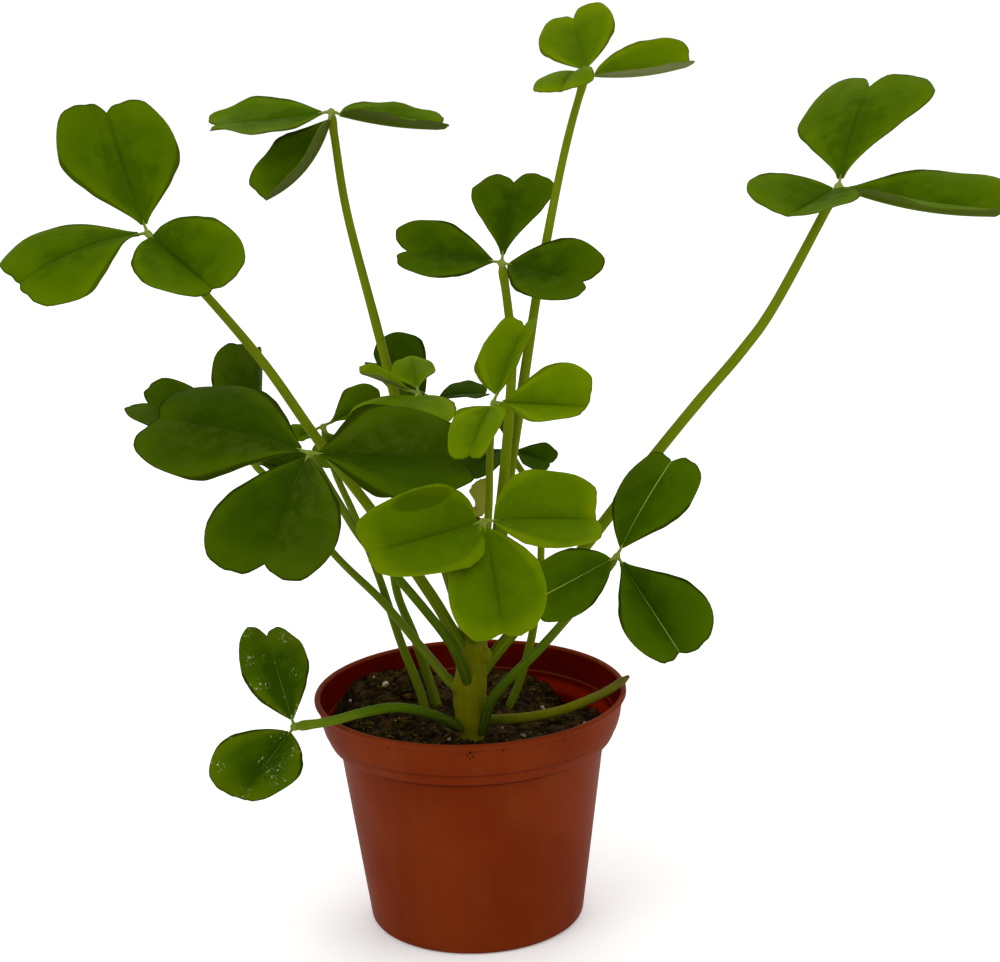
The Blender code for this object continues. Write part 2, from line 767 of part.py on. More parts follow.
def make_riblet(leaf, leaflet, collection):
    """The short bare rib that carries a blade, from the middle of the hub to under the blade."""
    start, way, _, _ = midrib_frame(leaf, leaflet)
    end = start + way * 1.8
    hub = Vector(leaf.hub)
    work = bmesh.new()
    place = Matrix.Translation((hub + end) / 2) @ way.to_track_quat("Z", "Y").to_matrix().to_4x4()
    bmesh.ops.create_cone(
        work, cap_ends=True, segments=5, radius1=RIBLET_RADII[0], radius2=RIBLET_RADII[1],
        depth=(end - hub).length, matrix=place,
    )
    return add_object("riblet", mesh_from(work, "riblet"), collection)


def make_leaf(name, leaf, parts, helpers, material):
    """A leaf: its leaflets joined to its hub."""
    pieces = new_collection("leaf pieces")
    for leaflet in leaf.leaflets:
        make_blade(leaf, leaflet, pieces)
        make_riblet(leaf, leaflet, pieces)
    work = bmesh.new()
    bmesh.ops.create_icosphere(work, subdivisions=1, radius=HUB_RADIUS, matrix=Matrix.Translation(leaf.hub))
    hub = add_object("hub", mesh_from(work, "hub"), helpers)
    boolean(hub, pieces, "UNION")
    made = applied(hub, f"leaf_{name}", parts, material)
    empty_collection(pieces)
    return made


def main():
    """Builds the whole plant in its pot."""
    for obj in list(bpy.data.objects):
        bpy.data.objects.remove(obj)
    parts = new_collection("potted_tree_oxalis")
    cutters = new_collection("cutters")
    make_pot(parts, cutters)
    soil = make_soil(parts)
    trunk = make_trunk(parts)
    make_growing_tip(parts, cutters)
    trunk_root = smooth_route(TRUNK_ROUTE, TRUNK_SEGMENTS)
    cut_for(soil, trunk_root, TRUNK_RADII[0] * (1 + TRUNK_SWELLING), SOIL_HOLE_LENGTH, cutters)
    green = finish("stalk", (88, 94, 26), 0.45)
    stub = smooth_route(STUB_ROUTE, STALK_SEGMENTS)
    tube("stub", stub, ramp(STUB_RADII, len(stub)), parts, finish("withered stalk", (85, 81, 28), 0.6))
    cut_for(trunk, stub, STUB_RADII[0], SOCKET_LENGTH, cutters)
    blade_green = finish("leaf", (64, 86, 6), 0.4)
    for name, leaf in LEAVES.items():
        points = stalk_route(leaf)
        tube(f"stalk_{name}", points, ramp(leaf.radii, len(points)), parts, green)
        if leaf.in_soil:
            cut_for(soil, points, leaf.radii[0], SOIL_HOLE_LENGTH, cutters)
        else:
            cut_for(trunk, points, leaf.radii[0], SOCKET_LENGTH, cutters)
        make_leaf(name, leaf, parts, cutters, blade_green)


main()
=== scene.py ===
"""Looks of a potted tree oxalis: pot, soil, trunk, stalks and leaves, lit for a still picture.

Lengths are in millimetres and scaled by MM where they meet a mesh, angles are in degrees, and colours
are as they look on screen, each channel from 0 to 255. The origin is the middle of the pot's underside,
+Z is up and -Y is the front.
"""
import logging
import math
import random
from collections.abc import Sequence
from dataclasses import dataclass, field
from enum import Enum
from functools import cache

import bmesh
import bpy
from mathutils import Matrix, Vector, noise


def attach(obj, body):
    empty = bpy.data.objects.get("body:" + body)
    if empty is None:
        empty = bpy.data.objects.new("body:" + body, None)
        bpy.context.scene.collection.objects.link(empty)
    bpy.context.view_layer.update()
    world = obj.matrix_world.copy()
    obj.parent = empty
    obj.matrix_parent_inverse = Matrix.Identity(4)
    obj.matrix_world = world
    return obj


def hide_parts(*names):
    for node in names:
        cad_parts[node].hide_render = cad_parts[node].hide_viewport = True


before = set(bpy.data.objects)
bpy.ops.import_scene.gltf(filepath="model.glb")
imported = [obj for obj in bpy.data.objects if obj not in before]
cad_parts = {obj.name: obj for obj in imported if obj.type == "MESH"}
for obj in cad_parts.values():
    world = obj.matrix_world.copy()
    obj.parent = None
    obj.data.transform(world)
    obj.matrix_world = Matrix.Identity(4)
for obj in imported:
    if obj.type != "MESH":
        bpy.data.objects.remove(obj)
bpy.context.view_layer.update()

MM = 0.001
TURN = 2 * math.pi
UP = Vector((0, 0, 1))
DOME = 0.5  # how far the ends of a stem bulge, as a share of their radius

Piece = bpy.types.Object
Material = bpy.types.Material
Socket = bpy.types.NodeSocket
Colour = tuple[int, int, int]
Point = tuple[float, float, float]
Pairs = Sequence[tuple[float, float]]

log = logging.getLogger("potted_tree_oxalis")


# Modelling


def clear_selection() -> None:
    """Selects nothing."""
    bpy.ops.object.select_all(action="DESELECT")


def take(*objects: Piece) -> Piece:
    """Selects objects and nothing else.

    Args:
        objects: What to select; the first becomes the active one.

    Returns:
        The active object.
    """
    clear_selection()
    for obj in objects:
        obj.select_set(True)
    bpy.context.view_layer.objects.active = objects[0]
    return objects[0]


def apply_modifiers(obj: Piece) -> None:
    """Makes an object's modifiers real, from the first to the last.

    Args:
        obj: The object that has them.
    """
    take(obj)
    for modifier in list(obj.modifiers):
        bpy.ops.object.modifier_apply(modifier=modifier.name)


def join(objects: Sequence[Piece]) -> Piece:
    """Makes one object of several.

    Args:
        objects: The objects, whose materials are kept.

    Returns:
        The joined object, at the origin.
    """
    made = take(*objects)
    if len(objects) > 1:
        bpy.ops.object.join()
    bpy.ops.object.transform_apply(location=True, rotation=True, scale=True)
    return made


def face_outwards() -> None:
    """Turns all faces of the mesh that is being edited outwards, and leaves edit mode."""
    bpy.ops.mesh.select_all(action="SELECT")
    bpy.ops.mesh.normals_make_consistent(inside=False)
    bpy.ops.object.mode_set(mode="OBJECT")


def set_uv(obj: Piece, shares: Pairs) -> None:
    """Sets an object's UV map.

    Args:
        obj: The object, which has a UV map.
        shares: U and V of each vertex.
    """
    uv = obj.data.uv_layers.active.data
    for loop in obj.data.loops:
        uv[loop.index].uv = shares[loop.vertex_index]


def smooth(obj: Piece, angle: float) -> None:
    """Shades an object smoothly, but for its sharper edges.

    Args:
        obj: The object.
        angle: Least angle of an edge that stays sharp.
    """
    take(obj)
    bpy.ops.object.shade_smooth_by_angle(angle=math.radians(angle))


def coat(obj: Piece, material: Material, sharp: float | None = None) -> None:
    """Gives an object one material all over.

    Args:
        obj: The object.
        material: The material, in place of any other.
        sharp: Least angle of an edge that stays sharp, or None to leave all faces flat.
    """
    obj.data.materials.clear()
    obj.data.materials.append(material)
    if sharp:
        smooth(obj, sharp)


def melt(obj: Piece, voxel: float, rounds: int) -> None:
    """Melts overlapping lumps into one skin.

    Args:
        obj: The object.
        voxel: Size of the skin's faces.
        rounds: How often the skin is smoothed.
    """
    remesh = obj.modifiers.new("Skin", "REMESH")
    remesh.mode = "VOXEL"
    remesh.voxel_size = voxel * MM
    relax = obj.modifiers.new("Relax", "SMOOTH")
    relax.factor = 0.5
    relax.iterations = rounds
    apply_modifiers(obj)


def finish_piece(obj: Piece, name: str, slot: str, *nodes: str) -> None:
    """Hands a finished piece over to the frame.

    Args:
        obj: The piece, at the origin.
        name: Its name.
        slot: The record's material slot for the piece; not used.
        nodes: The CAD nodes that it stands for.
    """
    obj.name = name
    obj.data.name = name
    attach(obj, "root")
    if nodes:
        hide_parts(*nodes)
    log.info("%s: %d faces", name, len(obj.data.polygons))


def polar(radius: float, turn: float) -> tuple[float, float]:
    """The x and y of a place at a distance from the axis, in a direction."""
    return radius * math.cos(turn), radius * math.sin(turn)


def radius_at(height: float, profile: Pairs) -> float:
    """Radius of a turned shape at a height, between the nearest points of its profile.

    Args:
        height: The height.
        profile: Radius and height of its points, from the lowest up.

    Returns:
        The radius. Above the last point it is that point's.
    """
    for (low_radius, low), (high_radius, high) in zip(profile, profile[1:]):
        if height <= high:
            return low_radius + (high_radius - low_radius) * max(0.0, height - low) / (high - low)
    return profile[-1][0]


def smooth_route(points: Sequence[Point | Vector], segments: int) -> list[Vector]:
    """Evenly spaced points on a smooth curve.

    Args:
        points: What the curve goes through.
        segments: How many parts it is cut into.

    Returns:
        The points, one more than the segments.
    """
    knots = [Vector(point) for point in points]
    knots = [2 * knots[0] - knots[1], *knots, 2 * knots[-1] - knots[-2]]
    steps = 24
    dense = []
    for before, start, end, after in zip(knots, knots[1:], knots[2:], knots[3:]):
        for t in (step / steps for step in range(steps)):
            dense.append(
                0.5 * (2 * start + (end - before) * t + (2 * before - 5 * start + 4 * end - after) * t**2
                       + (3 * start - before - 3 * end + after) * t**3)
            )
    dense.append(knots[-2])
    reach = [0.0]
    for here, there in zip(dense, dense[1:]):
        reach.append(reach[-1] + (there - here).length)
    route = []
    at = 0
    for step in range(segments + 1):
        goal = reach[-1] * step / segments
        while at < len(reach) - 2 and reach[at + 1] < goal:
            at += 1
        share = (goal - reach[at]) / (reach[at + 1] - reach[at])
        route.append(dense[at].lerp(dense[at + 1], share))
    return route


def stem(route: Sequence[Vector], radii: Sequence[float], sides: int) -> Piece:
    """A round closed stem: a cylinder cut into rings, with each ring set on its place of the route.

    Args:
        route: The middle of each ring.
        radii: The radius of each ring.
        sides: Number of sides.

    Returns:
        The stem, with a UV map that goes round it in U and along it in V.
    """
    clear_selection()
    bpy.ops.mesh.primitive_cylinder_add(vertices=sides, radius=1, depth=1, end_fill_type="TRIFAN")
    obj = bpy.context.object
    bpy.ops.object.mode_set(mode="EDIT")
    bpy.ops.mesh.select_mode(type="EDGE")
    bpy.ops.mesh.select_all(action="DESELECT")
    work = bmesh.from_edit_mesh(obj.data)
    for edge in work.edges:
        low, high = sorted(vertex.co.z for vertex in edge.verts)
        edge.select_set(high - low > 0.9)
    bmesh.update_edit_mesh(obj.data)
    bpy.ops.mesh.subdivide(number_cuts=len(route) - 2)
    bpy.ops.object.mode_set(mode="OBJECT")

    last = len(route) - 1
    ways = [(route[min(at + 1, last)] - route[max(at - 1, 0)]).normalized() for at in range(last + 1)]
    side = ways[0].orthogonal().normalized()
    crossways = []
    for way in ways:
        side = (side - way * side.dot(way)).normalized()
        crossways.append((side, way.cross(side)))
    along = [min(max(vertex.co.z + 0.5, 0.0), 1.0) for vertex in obj.data.vertices]
    for vertex, share in zip(obj.data.vertices, along):
        ring = round(share * last)
        first, second = crossways[ring]
        place = route[ring] + (first * vertex.co.x + second * vertex.co.y) * radii[ring]
        if vertex.co.x**2 + vertex.co.y**2 < 0.01:
            place = place + ways[ring] * radii[ring] * DOME * (1 if share > 0.5 else -1)
        vertex.co = place * MM
    uv = obj.data.uv_layers.active.data
    for loop in obj.data.loops:
        uv[loop.index].uv.y = along[loop.vertex_index]
    return obj


def ball(place: Vector, radii: Point, way: Vector = UP) -> Piece:
    """A rounded lump.

    Args:
        place: Its middle.
        radii: Its half sizes, the last one along its way.
        way: The direction of its axis.

    Returns:
        The lump.
    """
    clear_selection()
    bpy.ops.mesh.primitive_uv_sphere_add(
        segments=14, ring_count=8, radius=MM, location=place * MM,
        rotation=way.to_track_quat("Z", "Y").to_euler(), scale=radii,
    )
    return bpy.context.object


# Finishes


def linear(colour: Colour | Socket) -> tuple[float, float, float, float] | Socket:
    """A screen colour as the renderer counts it.

    Args:
        colour: The colour, or a socket that gives one.

    Returns:
        The same colour. A socket comes back as it is.
    """
    if isinstance(colour, Socket):
        return colour
    red, green, blue = ((channel / 255) ** 2.2 for channel in colour)
    return red, green, blue, 1.0


class NodeBench:
    """The nodes of one material, added and joined by short calls."""

    def __init__(self, name: str) -> None:
        """Starts a material with its Principled shader.

        Args:
            name: The material's name.
        """
        self.material = bpy.data.materials.new(name)
        self.material.use_nodes = True
        self.tree = self.material.node_tree
        self.shader = self.tree.nodes["Principled BSDF"]
        self.coordinates = self.tree.nodes.new("ShaderNodeTexCoord")

    def feed(self, socket: Socket, value: Socket | float | Sequence[float]) -> None:
        """Joins an output to a socket, or sets the socket's own value.

        Args:
            socket: The socket that takes it.
            value: The output or the value.
        """
        if isinstance(value, Socket):
            self.tree.links.new(value, socket)
        else:
            socket.default_value = value

    def add(self, kind: str, inputs: dict, **settings: object) -> bpy.types.Node:
        """Adds a node.

        Args:
            kind: The node's type.
            inputs: What goes into its sockets, by name or number.
            settings: Its other properties.

        Returns:
            The node.
        """
        node = self.tree.nodes.new(kind)
        for key, value in settings.items():
            setattr(node, key, value)
        for key, value in inputs.items():
            self.feed(node.inputs[key], value)
        return node

    def place(self, stretch: Point = (1, 1, 1)) -> Socket:
        """The place on the piece in millimetres, stretched along each axis."""
        inputs = {"Vector": self.coordinates.outputs["Object"], "Scale": [share / MM for share in stretch]}
        return self.add("ShaderNodeMapping", inputs).outputs[0]

    def uv(self) -> list[Socket]:
        """The piece's own U and V, each a number."""
        return self.split(self.coordinates.outputs["UV"])[:2]

    def split(self, vector: Socket) -> list[Socket]:
        """The three numbers of a vector."""
        return list(self.add("ShaderNodeSeparateXYZ", {0: vector}).outputs)

    def noise(self, vector: Socket, scale: float, detail: float = 3, roughness: float = 0.5) -> Socket:
        """Cloudy noise from 0 to 1, with that many clouds for each unit of the vector."""
        inputs = {"Vector": vector, "Scale": scale, "Detail": detail, "Roughness": roughness}
        return self.add("ShaderNodeTexNoise", inputs).outputs[0]

    def cells(self, vector: Socket, scale: float) -> Socket:
        """Distance from the middle of the nearest cell."""
        return self.add("ShaderNodeTexVoronoi", {"Vector": vector, "Scale": scale}).outputs["Distance"]

    def reckon(self, operation: str, first: Socket | float, second: Socket | float = 0.0) -> Socket:
        """A number worked out from one or two others."""
        return self.add("ShaderNodeMath", {0: first, 1: second}, operation=operation).outputs[0]

    def plus(self, first: Socket | float, second: Socket | float) -> Socket:
        """One number and another."""
        return self.reckon("ADD", first, second)

    def minus(self, first: Socket | float, second: Socket | float) -> Socket:
        """One number less another."""
        return self.reckon("SUBTRACT", first, second)

    def times(self, first: Socket | float, second: Socket | float) -> Socket:
        """One number times another."""
        return self.reckon("MULTIPLY", first, second)

    def band(self, value: Socket, low: float, high: float, start: float = 0.0, end: float = 1.0) -> Socket:
        """A number that goes smoothly from start to end while value goes from low to high."""
        inputs = {"Value": value, "From Min": low, "From Max": high, "To Min": start, "To Max": end}
        return self.add("ShaderNodeMapRange", inputs, interpolation_type="SMOOTHSTEP").outputs[0]

    def vector(self, operation: str, first: Socket, second: Point = (0, 0, 0)) -> bpy.types.Node:
        """A node that works out a vector or its length."""
        return self.add("ShaderNodeVectorMath", {0: first, 1: second}, operation=operation)

    def mix(self, share: Socket | float, first: Socket | Colour, second: Socket | Colour) -> Socket:
        """A colour between two others."""
        inputs = {0: share, 6: linear(first), 7: linear(second)}
        return self.add("ShaderNodeMix", inputs, data_type="RGBA").outputs[2]

    def relief(self, height: Socket, depth: float, strength: float = 1.0) -> None:
        """Gives the shader a relief of that depth in millimetres."""
        inputs = {"Height": height, "Distance": depth * MM, "Strength": strength}
        self.feed(self.shader.inputs["Normal"], self.add("ShaderNodeBump", inputs).outputs[0])

    def gloss(self, roughness: Socket | float, specular: float) -> None:
        """Sets how the shader shines."""
        self.feed(self.shader.inputs["Roughness"], roughness)
        self.shader.inputs["Specular IOR Level"].default_value = specular

    def paint(self, colour: Socket) -> None:
        """Gives the shader its colour."""
        self.feed(self.shader.inputs["Base Color"], colour)

    def glow(self, colour: Socket, share: float) -> None:
        """Lets part of the light pass through, as a thin leaf does.

        Args:
            colour: The colour of that light.
            share: How large that part is.
        """
        through = self.add("ShaderNodeBsdfTranslucent", {"Color": colour})
        both = self.add("ShaderNodeMixShader", {0: share, 1: self.shader.outputs[0], 2: through.outputs[0]})
        self.feed(self.tree.nodes["Material Output"].inputs["Surface"], both.outputs[0])


@dataclass(frozen=True)
class Finish:
    """A finish, whose material is made when a piece first asks for it."""

    name: str

    def lay(self, bench: NodeBench) -> None:
        """Lays the finish out on a bench."""
        raise NotImplementedError(self.name)

    @cache
    def material(self) -> Material:
        """Makes the material, once.

        Returns:
            The material.
        """
        bench = NodeBench(self.name)
        self.lay(bench)
        return bench.material


@dataclass(frozen=True)
class PotPlastic(Finish):
    """Terracotta-coloured moulded plastic, with a faint bloom, a few grains of dirt, and painted lines of
    shade and highlight round the pot.
    """

    colour: Colour
    shade: Colour
    bloom: Colour
    dirt: Colour
    soiled: float  # share of the surface with dirt on it
    rough: float = 0.5
    specular: float = 0.04
    lines: tuple[tuple[float, float, float, Colour], ...] = ()  # painted shade and highlight lines round the pot: height, half width, strength and colour

    def lay(self, bench: NodeBench) -> None:
        """Lays out the clouds and streaks of bloom, the painted lines of shade and highlight round the pot,
        and the dirt.

        Args:
            bench: The material's nodes.
        """
        place = bench.place()
        clouds = bench.noise(place, 0.03)
        streaks = bench.noise(bench.place((1, 1, 0.3)), 0.12)
        colour = bench.mix(bench.band(clouds, 0.35, 0.68), self.colour, self.shade)
        colour = bench.mix(bench.band(streaks, 0.45, 0.8, 0.0, 0.4), colour, self.bloom)
        height = bench.split(place)[2]
        # painted shade and highlight: each line darkens or lightens the wall at its height
        for middle, width, strength, line in self.lines:
            off = bench.reckon("ABSOLUTE", bench.minus(height, middle))
            colour = bench.mix(bench.band(off, 0.2 * width, width, strength, 0.0), colour, line)
        edge = 0.74 - 0.3 * self.soiled
        grains = bench.band(bench.noise(place, 0.75, 4, 0.65), edge, edge + 0.05)
        specks = bench.times(grains, bench.band(bench.noise(place, 0.06, 2), 0.5, 0.62))
        bench.paint(bench.mix(specks, colour, self.dirt))
        rough = bench.plus(bench.times(clouds, 0.12), self.rough - 0.06)
        bench.gloss(bench.plus(rough, bench.times(specks, 0.3)), self.specular)
        bench.relief(bench.plus(bench.times(bench.noise(place, 1.6, 2), 0.25), specks), 0.1, 0.4)


@dataclass(frozen=True)
class PottingSoil(Finish):
    """Peat: dark and brown in lumps, with pale fibres. With by_depth, painted shade darkens the gaps between
    its clods, and their tops are paler.
    """

    dark: Colour
    brown: Colour
    straw: Colour
    # painted shade in the gaps between clods
    painted_gap_shade: Colour = (12, 8, 3)
    by_depth: bool = False  # the UV map's first number says how high a place is on its clod

    def lay(self, bench: NodeBench) -> None:
        """Lays out the lumps, the flecks of straw, the painted shade in the gaps between clods and their
        paler tops.

        Args:
            bench: The material's nodes.
        """
        place = bench.place()
        lumps = bench.noise(place, 0.3, 4, 0.65)
        colour = bench.mix(bench.band(lumps, 0.38, 0.68), self.dark, self.brown)
        flecks = bench.band(bench.noise(place, 0.8, 3, 0.6), 0.58, 0.7, 0.0, 0.8)
        colour = bench.mix(flecks, colour, self.straw)
        # painted shade in the gaps between clods, and straw paler towards their tops
        if self.by_depth:
            top, _ = bench.uv()
            colour = bench.mix(bench.band(top, 0.1, 0.55, 0.85, 0.0), colour, self.painted_gap_shade)
            colour = bench.mix(bench.band(top, 0.6, 1.0, 0.0, 0.3), colour, self.straw)
        bench.paint(colour)
        bench.gloss(0.9, 0.04)
        bench.relief(bench.noise(place, 1.3, 5, 0.7), 0.5)


@dataclass(frozen=True)
class Grain(Finish):
    """Perlite, or another pale mineral grain, pitted all over."""

    colour: Colour
    stain: Colour

    def lay(self, bench: NodeBench) -> None:
        """Lays out the stains and the pits.

        Args:
            bench: The material's nodes.
        """
        place = bench.place()
        bench.paint(bench.mix(bench.band(bench.noise(place, 0.9, 4), 0.42, 0.7), self.colour, self.stain))
        bench.gloss(0.85, 0.2)
        bench.relief(bench.cells(place, 3.0), 0.2, 0.6)


@dataclass(frozen=True)
class StemSkin(Finish):
    """Smooth skin of a trunk or a stalk, whose colour changes along it."""

    root: Colour
    middle: Colour
    top: Colour
    fibre: Colour  # fine lighter lines along it
    rough: float = 0.42
    fibres: float = 0.3
    ribs: float = 0.4
    by_height: tuple[float, float] | None = None  # reads the height between these instead of the UV map

    def runs(self, bench: NodeBench, place: Socket) -> tuple[Socket, Socket]:
        """What changes along the stem and round it.

        Args:
            bench: The material's nodes.
            place: The place on the piece.

        Returns:
            The share of the way along it, and fine lines along it.
        """
        if self.by_height:
            low, high = self.by_height
            inputs = {"Value": bench.split(place)[2], "From Min": low, "From Max": high}
            along = bench.add("ShaderNodeMapRange", inputs).outputs[0]
            return along, bench.noise(bench.place((1, 1, 0.1)), 0.9, 3, 0.6)
        round_it, along = bench.uv()
        turn = bench.times(round_it, TURN)
        x, y = bench.reckon("COSINE", turn), bench.reckon("SINE", turn)
        ring = bench.add("ShaderNodeCombineXYZ", {0: x, 1: y, 2: bench.times(along, 1.5)}).outputs[0]
        return along, bench.noise(ring, 3.2, 3, 0.6)

    def lay(self, bench: NodeBench) -> None:
        """Lays out the colours from root to top, with blotches and fibres.

        Args:
            bench: The material's nodes.
        """
        place = bench.place()
        along, lines = self.runs(bench, place)
        colour = bench.mix(bench.band(along, 0.02, 0.4), self.root, self.middle)
        colour = bench.mix(bench.band(along, 0.5, 0.98), colour, self.top)
        blotches = bench.band(bench.noise(place, 0.16), 0.42, 0.72)
        colour = bench.mix(bench.times(blotches, 0.25), colour, self.root)
        bench.paint(bench.mix(bench.times(bench.band(lines, 0.48, 0.72), self.fibres), colour, self.fibre))
        bench.gloss(bench.band(lines, 0.3, 0.7, self.rough, self.rough + 0.12), 0.02)
        bench.relief(bench.plus(lines, bench.times(bench.noise(place, 1.1), 0.4)), 0.1, self.ribs)


@dataclass(frozen=True)
class CloudedSkin(Finish):
    """A matt skin of two colours that cloud into each other, as on the thin edge of a leaf."""

    first: Colour
    second: Colour

    def lay(self, bench: NodeBench) -> None:
        """Lays out the clouds."""
        bench.paint(bench.mix(bench.noise(bench.place(), 0.3), self.first, self.second))
        bench.gloss(0.6, 0.04)


@dataclass(frozen=True)
class LeafSkin:
    """Both sides and the edge of a leaflet. The UV map goes from its foot to its end, and across it."""

    name: str
    middle: Colour
    heart: Colour  # near the foot and beside the midrib
    margin: Colour  # fading edge
    rib: Colour
    under: Colour
    edge: Colour = (30, 34, 3)
    outline: float = 0.5  # how dark its very edge is
    rib_show: float = 0.4
    rib_end: float = 0.7  # how far along the pale midrib shows
    crease: float = 0.3  # how dark the painted shade in the fold beside the midrib is
    rim: float = 0.7  # where the fading edge starts, as a share of the way out
    fading: float = 0.8
    mottled: float = 0.15
    bloom: float = 0.0  # how much of its left half has greyish patches: partly its own mottling, partly painted sheen
    mottle_and_sheen_grey: Colour = (72, 82, 26)  # of those patches
    splashes: float = 0.0  # how much of it has dried drops
    chalk: Colour = (160, 166, 120)  # of those drops
    lens: Point | None = None  # middle of the painted shadow of a leaf behind it
    glow: float = 0.2

    def shares(self, bench: NodeBench) -> tuple[Socket, Socket, Socket]:
        """How far along the blade, across it and away from the midrib a place is, each from 0 to 1."""
        along, across = bench.uv()
        return along, across, bench.reckon("ABSOLUTE", bench.minus(bench.times(across, 2.0), 1.0))

    def veins(self, bench: NodeBench, along: Socket, aside: Socket, clouds: Socket) -> Socket:
        """Thin side veins that leave the midrib and lean towards the end.

        Args:
            bench: The material's nodes.
            along: How far along the blade a place is.
            aside: How far away from the midrib it is.
            clouds: Noise that makes them uneven.

        Returns:
            From 0 between the veins to 1 on one.
        """
        bent = bench.times(bench.reckon("POWER", aside, 0.8), 0.55)
        phase = bench.plus(bench.minus(along, bent), bench.times(clouds, 0.12))
        return bench.band(bench.reckon("PINGPONG", bench.times(phase, 7.0), 0.5), 0.0, 0.2, 1.0, 0.0)

    def behind(self, bench: NodeBench) -> Socket:
        """How much the painted shadow of a leaf behind this one darkens it: an oval, wider than it is high.

        Args:
            bench: The material's nodes.

        Returns:
            The share of the painted shadow's colour.
        """
        off = bench.vector("SUBTRACT", bench.place(), self.lens)
        flat = bench.vector("MULTIPLY", off.outputs[0], (1.0, 0.0, 2.7))
        return bench.band(bench.vector("LENGTH", flat.outputs[0]).outputs["Value"], 7.0, 9.4, 0.65, 0.0)

    def splash(self, bench: NodeBench, place: Socket) -> Socket:
        """Where drops and streaks have dried.

        Args:
            bench: The material's nodes.
            place: The place on the piece.

        Returns:
            The share of their colour.
        """
        dots = bench.band(bench.cells(place, 0.36), 0.08, 0.2, 1.0, 0.0)
        streaks = bench.band(bench.noise(bench.place((1.5, 1.0, 0.5)), 0.9, 3, 0.6), 0.6, 0.66)
        where = bench.band(bench.noise(place, 0.12, 3, 0.6), 0.68 - self.splashes, 0.73 - self.splashes)
        return bench.times(bench.times(bench.reckon("MAXIMUM", dots, streaks), where), 0.85)

    @cache
    def upper(self) -> Material:
        """Makes the upper side's material, once.

        Returns:
            The material.
        """
        bench = NodeBench(f"{self.name} upper side")
        place = bench.place()
        along, across, aside = self.shares(bench)
        clouds = bench.noise(place, 0.06, 2)
        patches = bench.noise(place, 0.16, 3, 0.55)
        depth = bench.plus(bench.band(along, 0.1, 0.95, 0.6, 0.0), bench.band(aside, 0.0, 0.75, 0.5, 0.0))
        depth = bench.plus(depth, bench.band(patches, 0.3, 0.7, -self.mottled, self.mottled))
        colour = bench.mix(bench.band(depth, 0.1, 0.95), self.middle, self.heart)
        end, side = bench.band(along, self.rim, 1.0), bench.band(aside, self.rim + 0.06, 1.0)
        fading = bench.band(clouds, 0.3, 0.65, 0.25, self.fading)
        colour = bench.mix(bench.times(bench.reckon("MAXIMUM", end, side), fading), colour, self.margin)
        veins = self.veins(bench, along, aside, clouds)
        colour = bench.mix(bench.times(veins, 0.05), colour, self.margin)
        # painted shade in the fold beside the midrib, fading towards the end; deep is the colour of this
        # shade and of the lens's painted shadow
        deep = tuple(0.78 * channel for channel in self.heart)
        crease = bench.band(aside, 0.01, 0.07, self.crease, 0.0)
        colour = bench.mix(bench.times(crease, bench.band(along, 0.75, 1.0, 1.0, 0.3)), colour, deep)
        # greyish patches on the left half: partly its own mottling, partly painted sheen
        if self.bloom:
            bloom = bench.band(bench.noise(place, 0.22, 4, 0.65), 0.4, 0.66, 0.0, self.bloom)
            colour = bench.mix(bench.times(bloom, bench.band(across, 0.5, 0.6)), colour, self.mottle_and_sheen_grey)
        # painted shadow of a leaf behind, in an oval round lens
        if self.lens:
            colour = bench.mix(self.behind(bench), colour, deep)
        rib = bench.band(aside, 0.006, 0.026, self.rib_show, 0.0)
        shown = bench.band(along, 0.4 * self.rib_end, self.rib_end, 1.0, 0.0)
        colour = bench.mix(bench.times(rib, shown), colour, self.rib)
        outline = bench.reckon("MAXIMUM", bench.band(along, 0.982, 0.996), bench.band(aside, 0.98, 0.996))
        colour = bench.mix(bench.times(outline, self.outline), colour, self.edge)
        if self.splashes:
            colour = bench.mix(self.splash(bench, place), colour, self.chalk)
        bench.paint(colour)
        bench.gloss(bench.band(patches, 0.3, 0.75, 0.42, 0.6), 0.004)
        bench.relief(bench.minus(bench.times(bench.noise(place, 0.5), 0.8), veins), 0.1, 0.35)
        bench.glow(colour, self.glow)
        return bench.material

    @cache
    def lower(self) -> Material:
        """Makes the underside's material, once.

        Returns:
            The material.
        """
        bench = NodeBench(f"{self.name} underside")
        place = bench.place()
        along, _, aside = self.shares(bench)
        clouds = bench.noise(place, 0.1, 4, 0.6)
        colour = bench.mix(bench.band(clouds, 0.3, 0.7, 0.0, 0.35), self.under, self.middle)
        veins = self.veins(bench, along, aside, clouds)
        colour = bench.mix(bench.times(veins, 0.15), colour, self.rib)
        colour = bench.mix(bench.band(aside, 0.02, 0.06, 0.6, 0.0), colour, self.rib)
        bench.paint(colour)
        bench.gloss(0.62, 0.01)
        bench.relief(bench.plus(veins, bench.noise(place, 0.9)), 0.1, 0.4)
        bench.glow(colour, self.glow)
        return bench.material

    def border(self) -> Material:
        """The material of the thin edge."""
        return CloudedSkin(f"{self.name} edge", self.edge, self.margin).material()


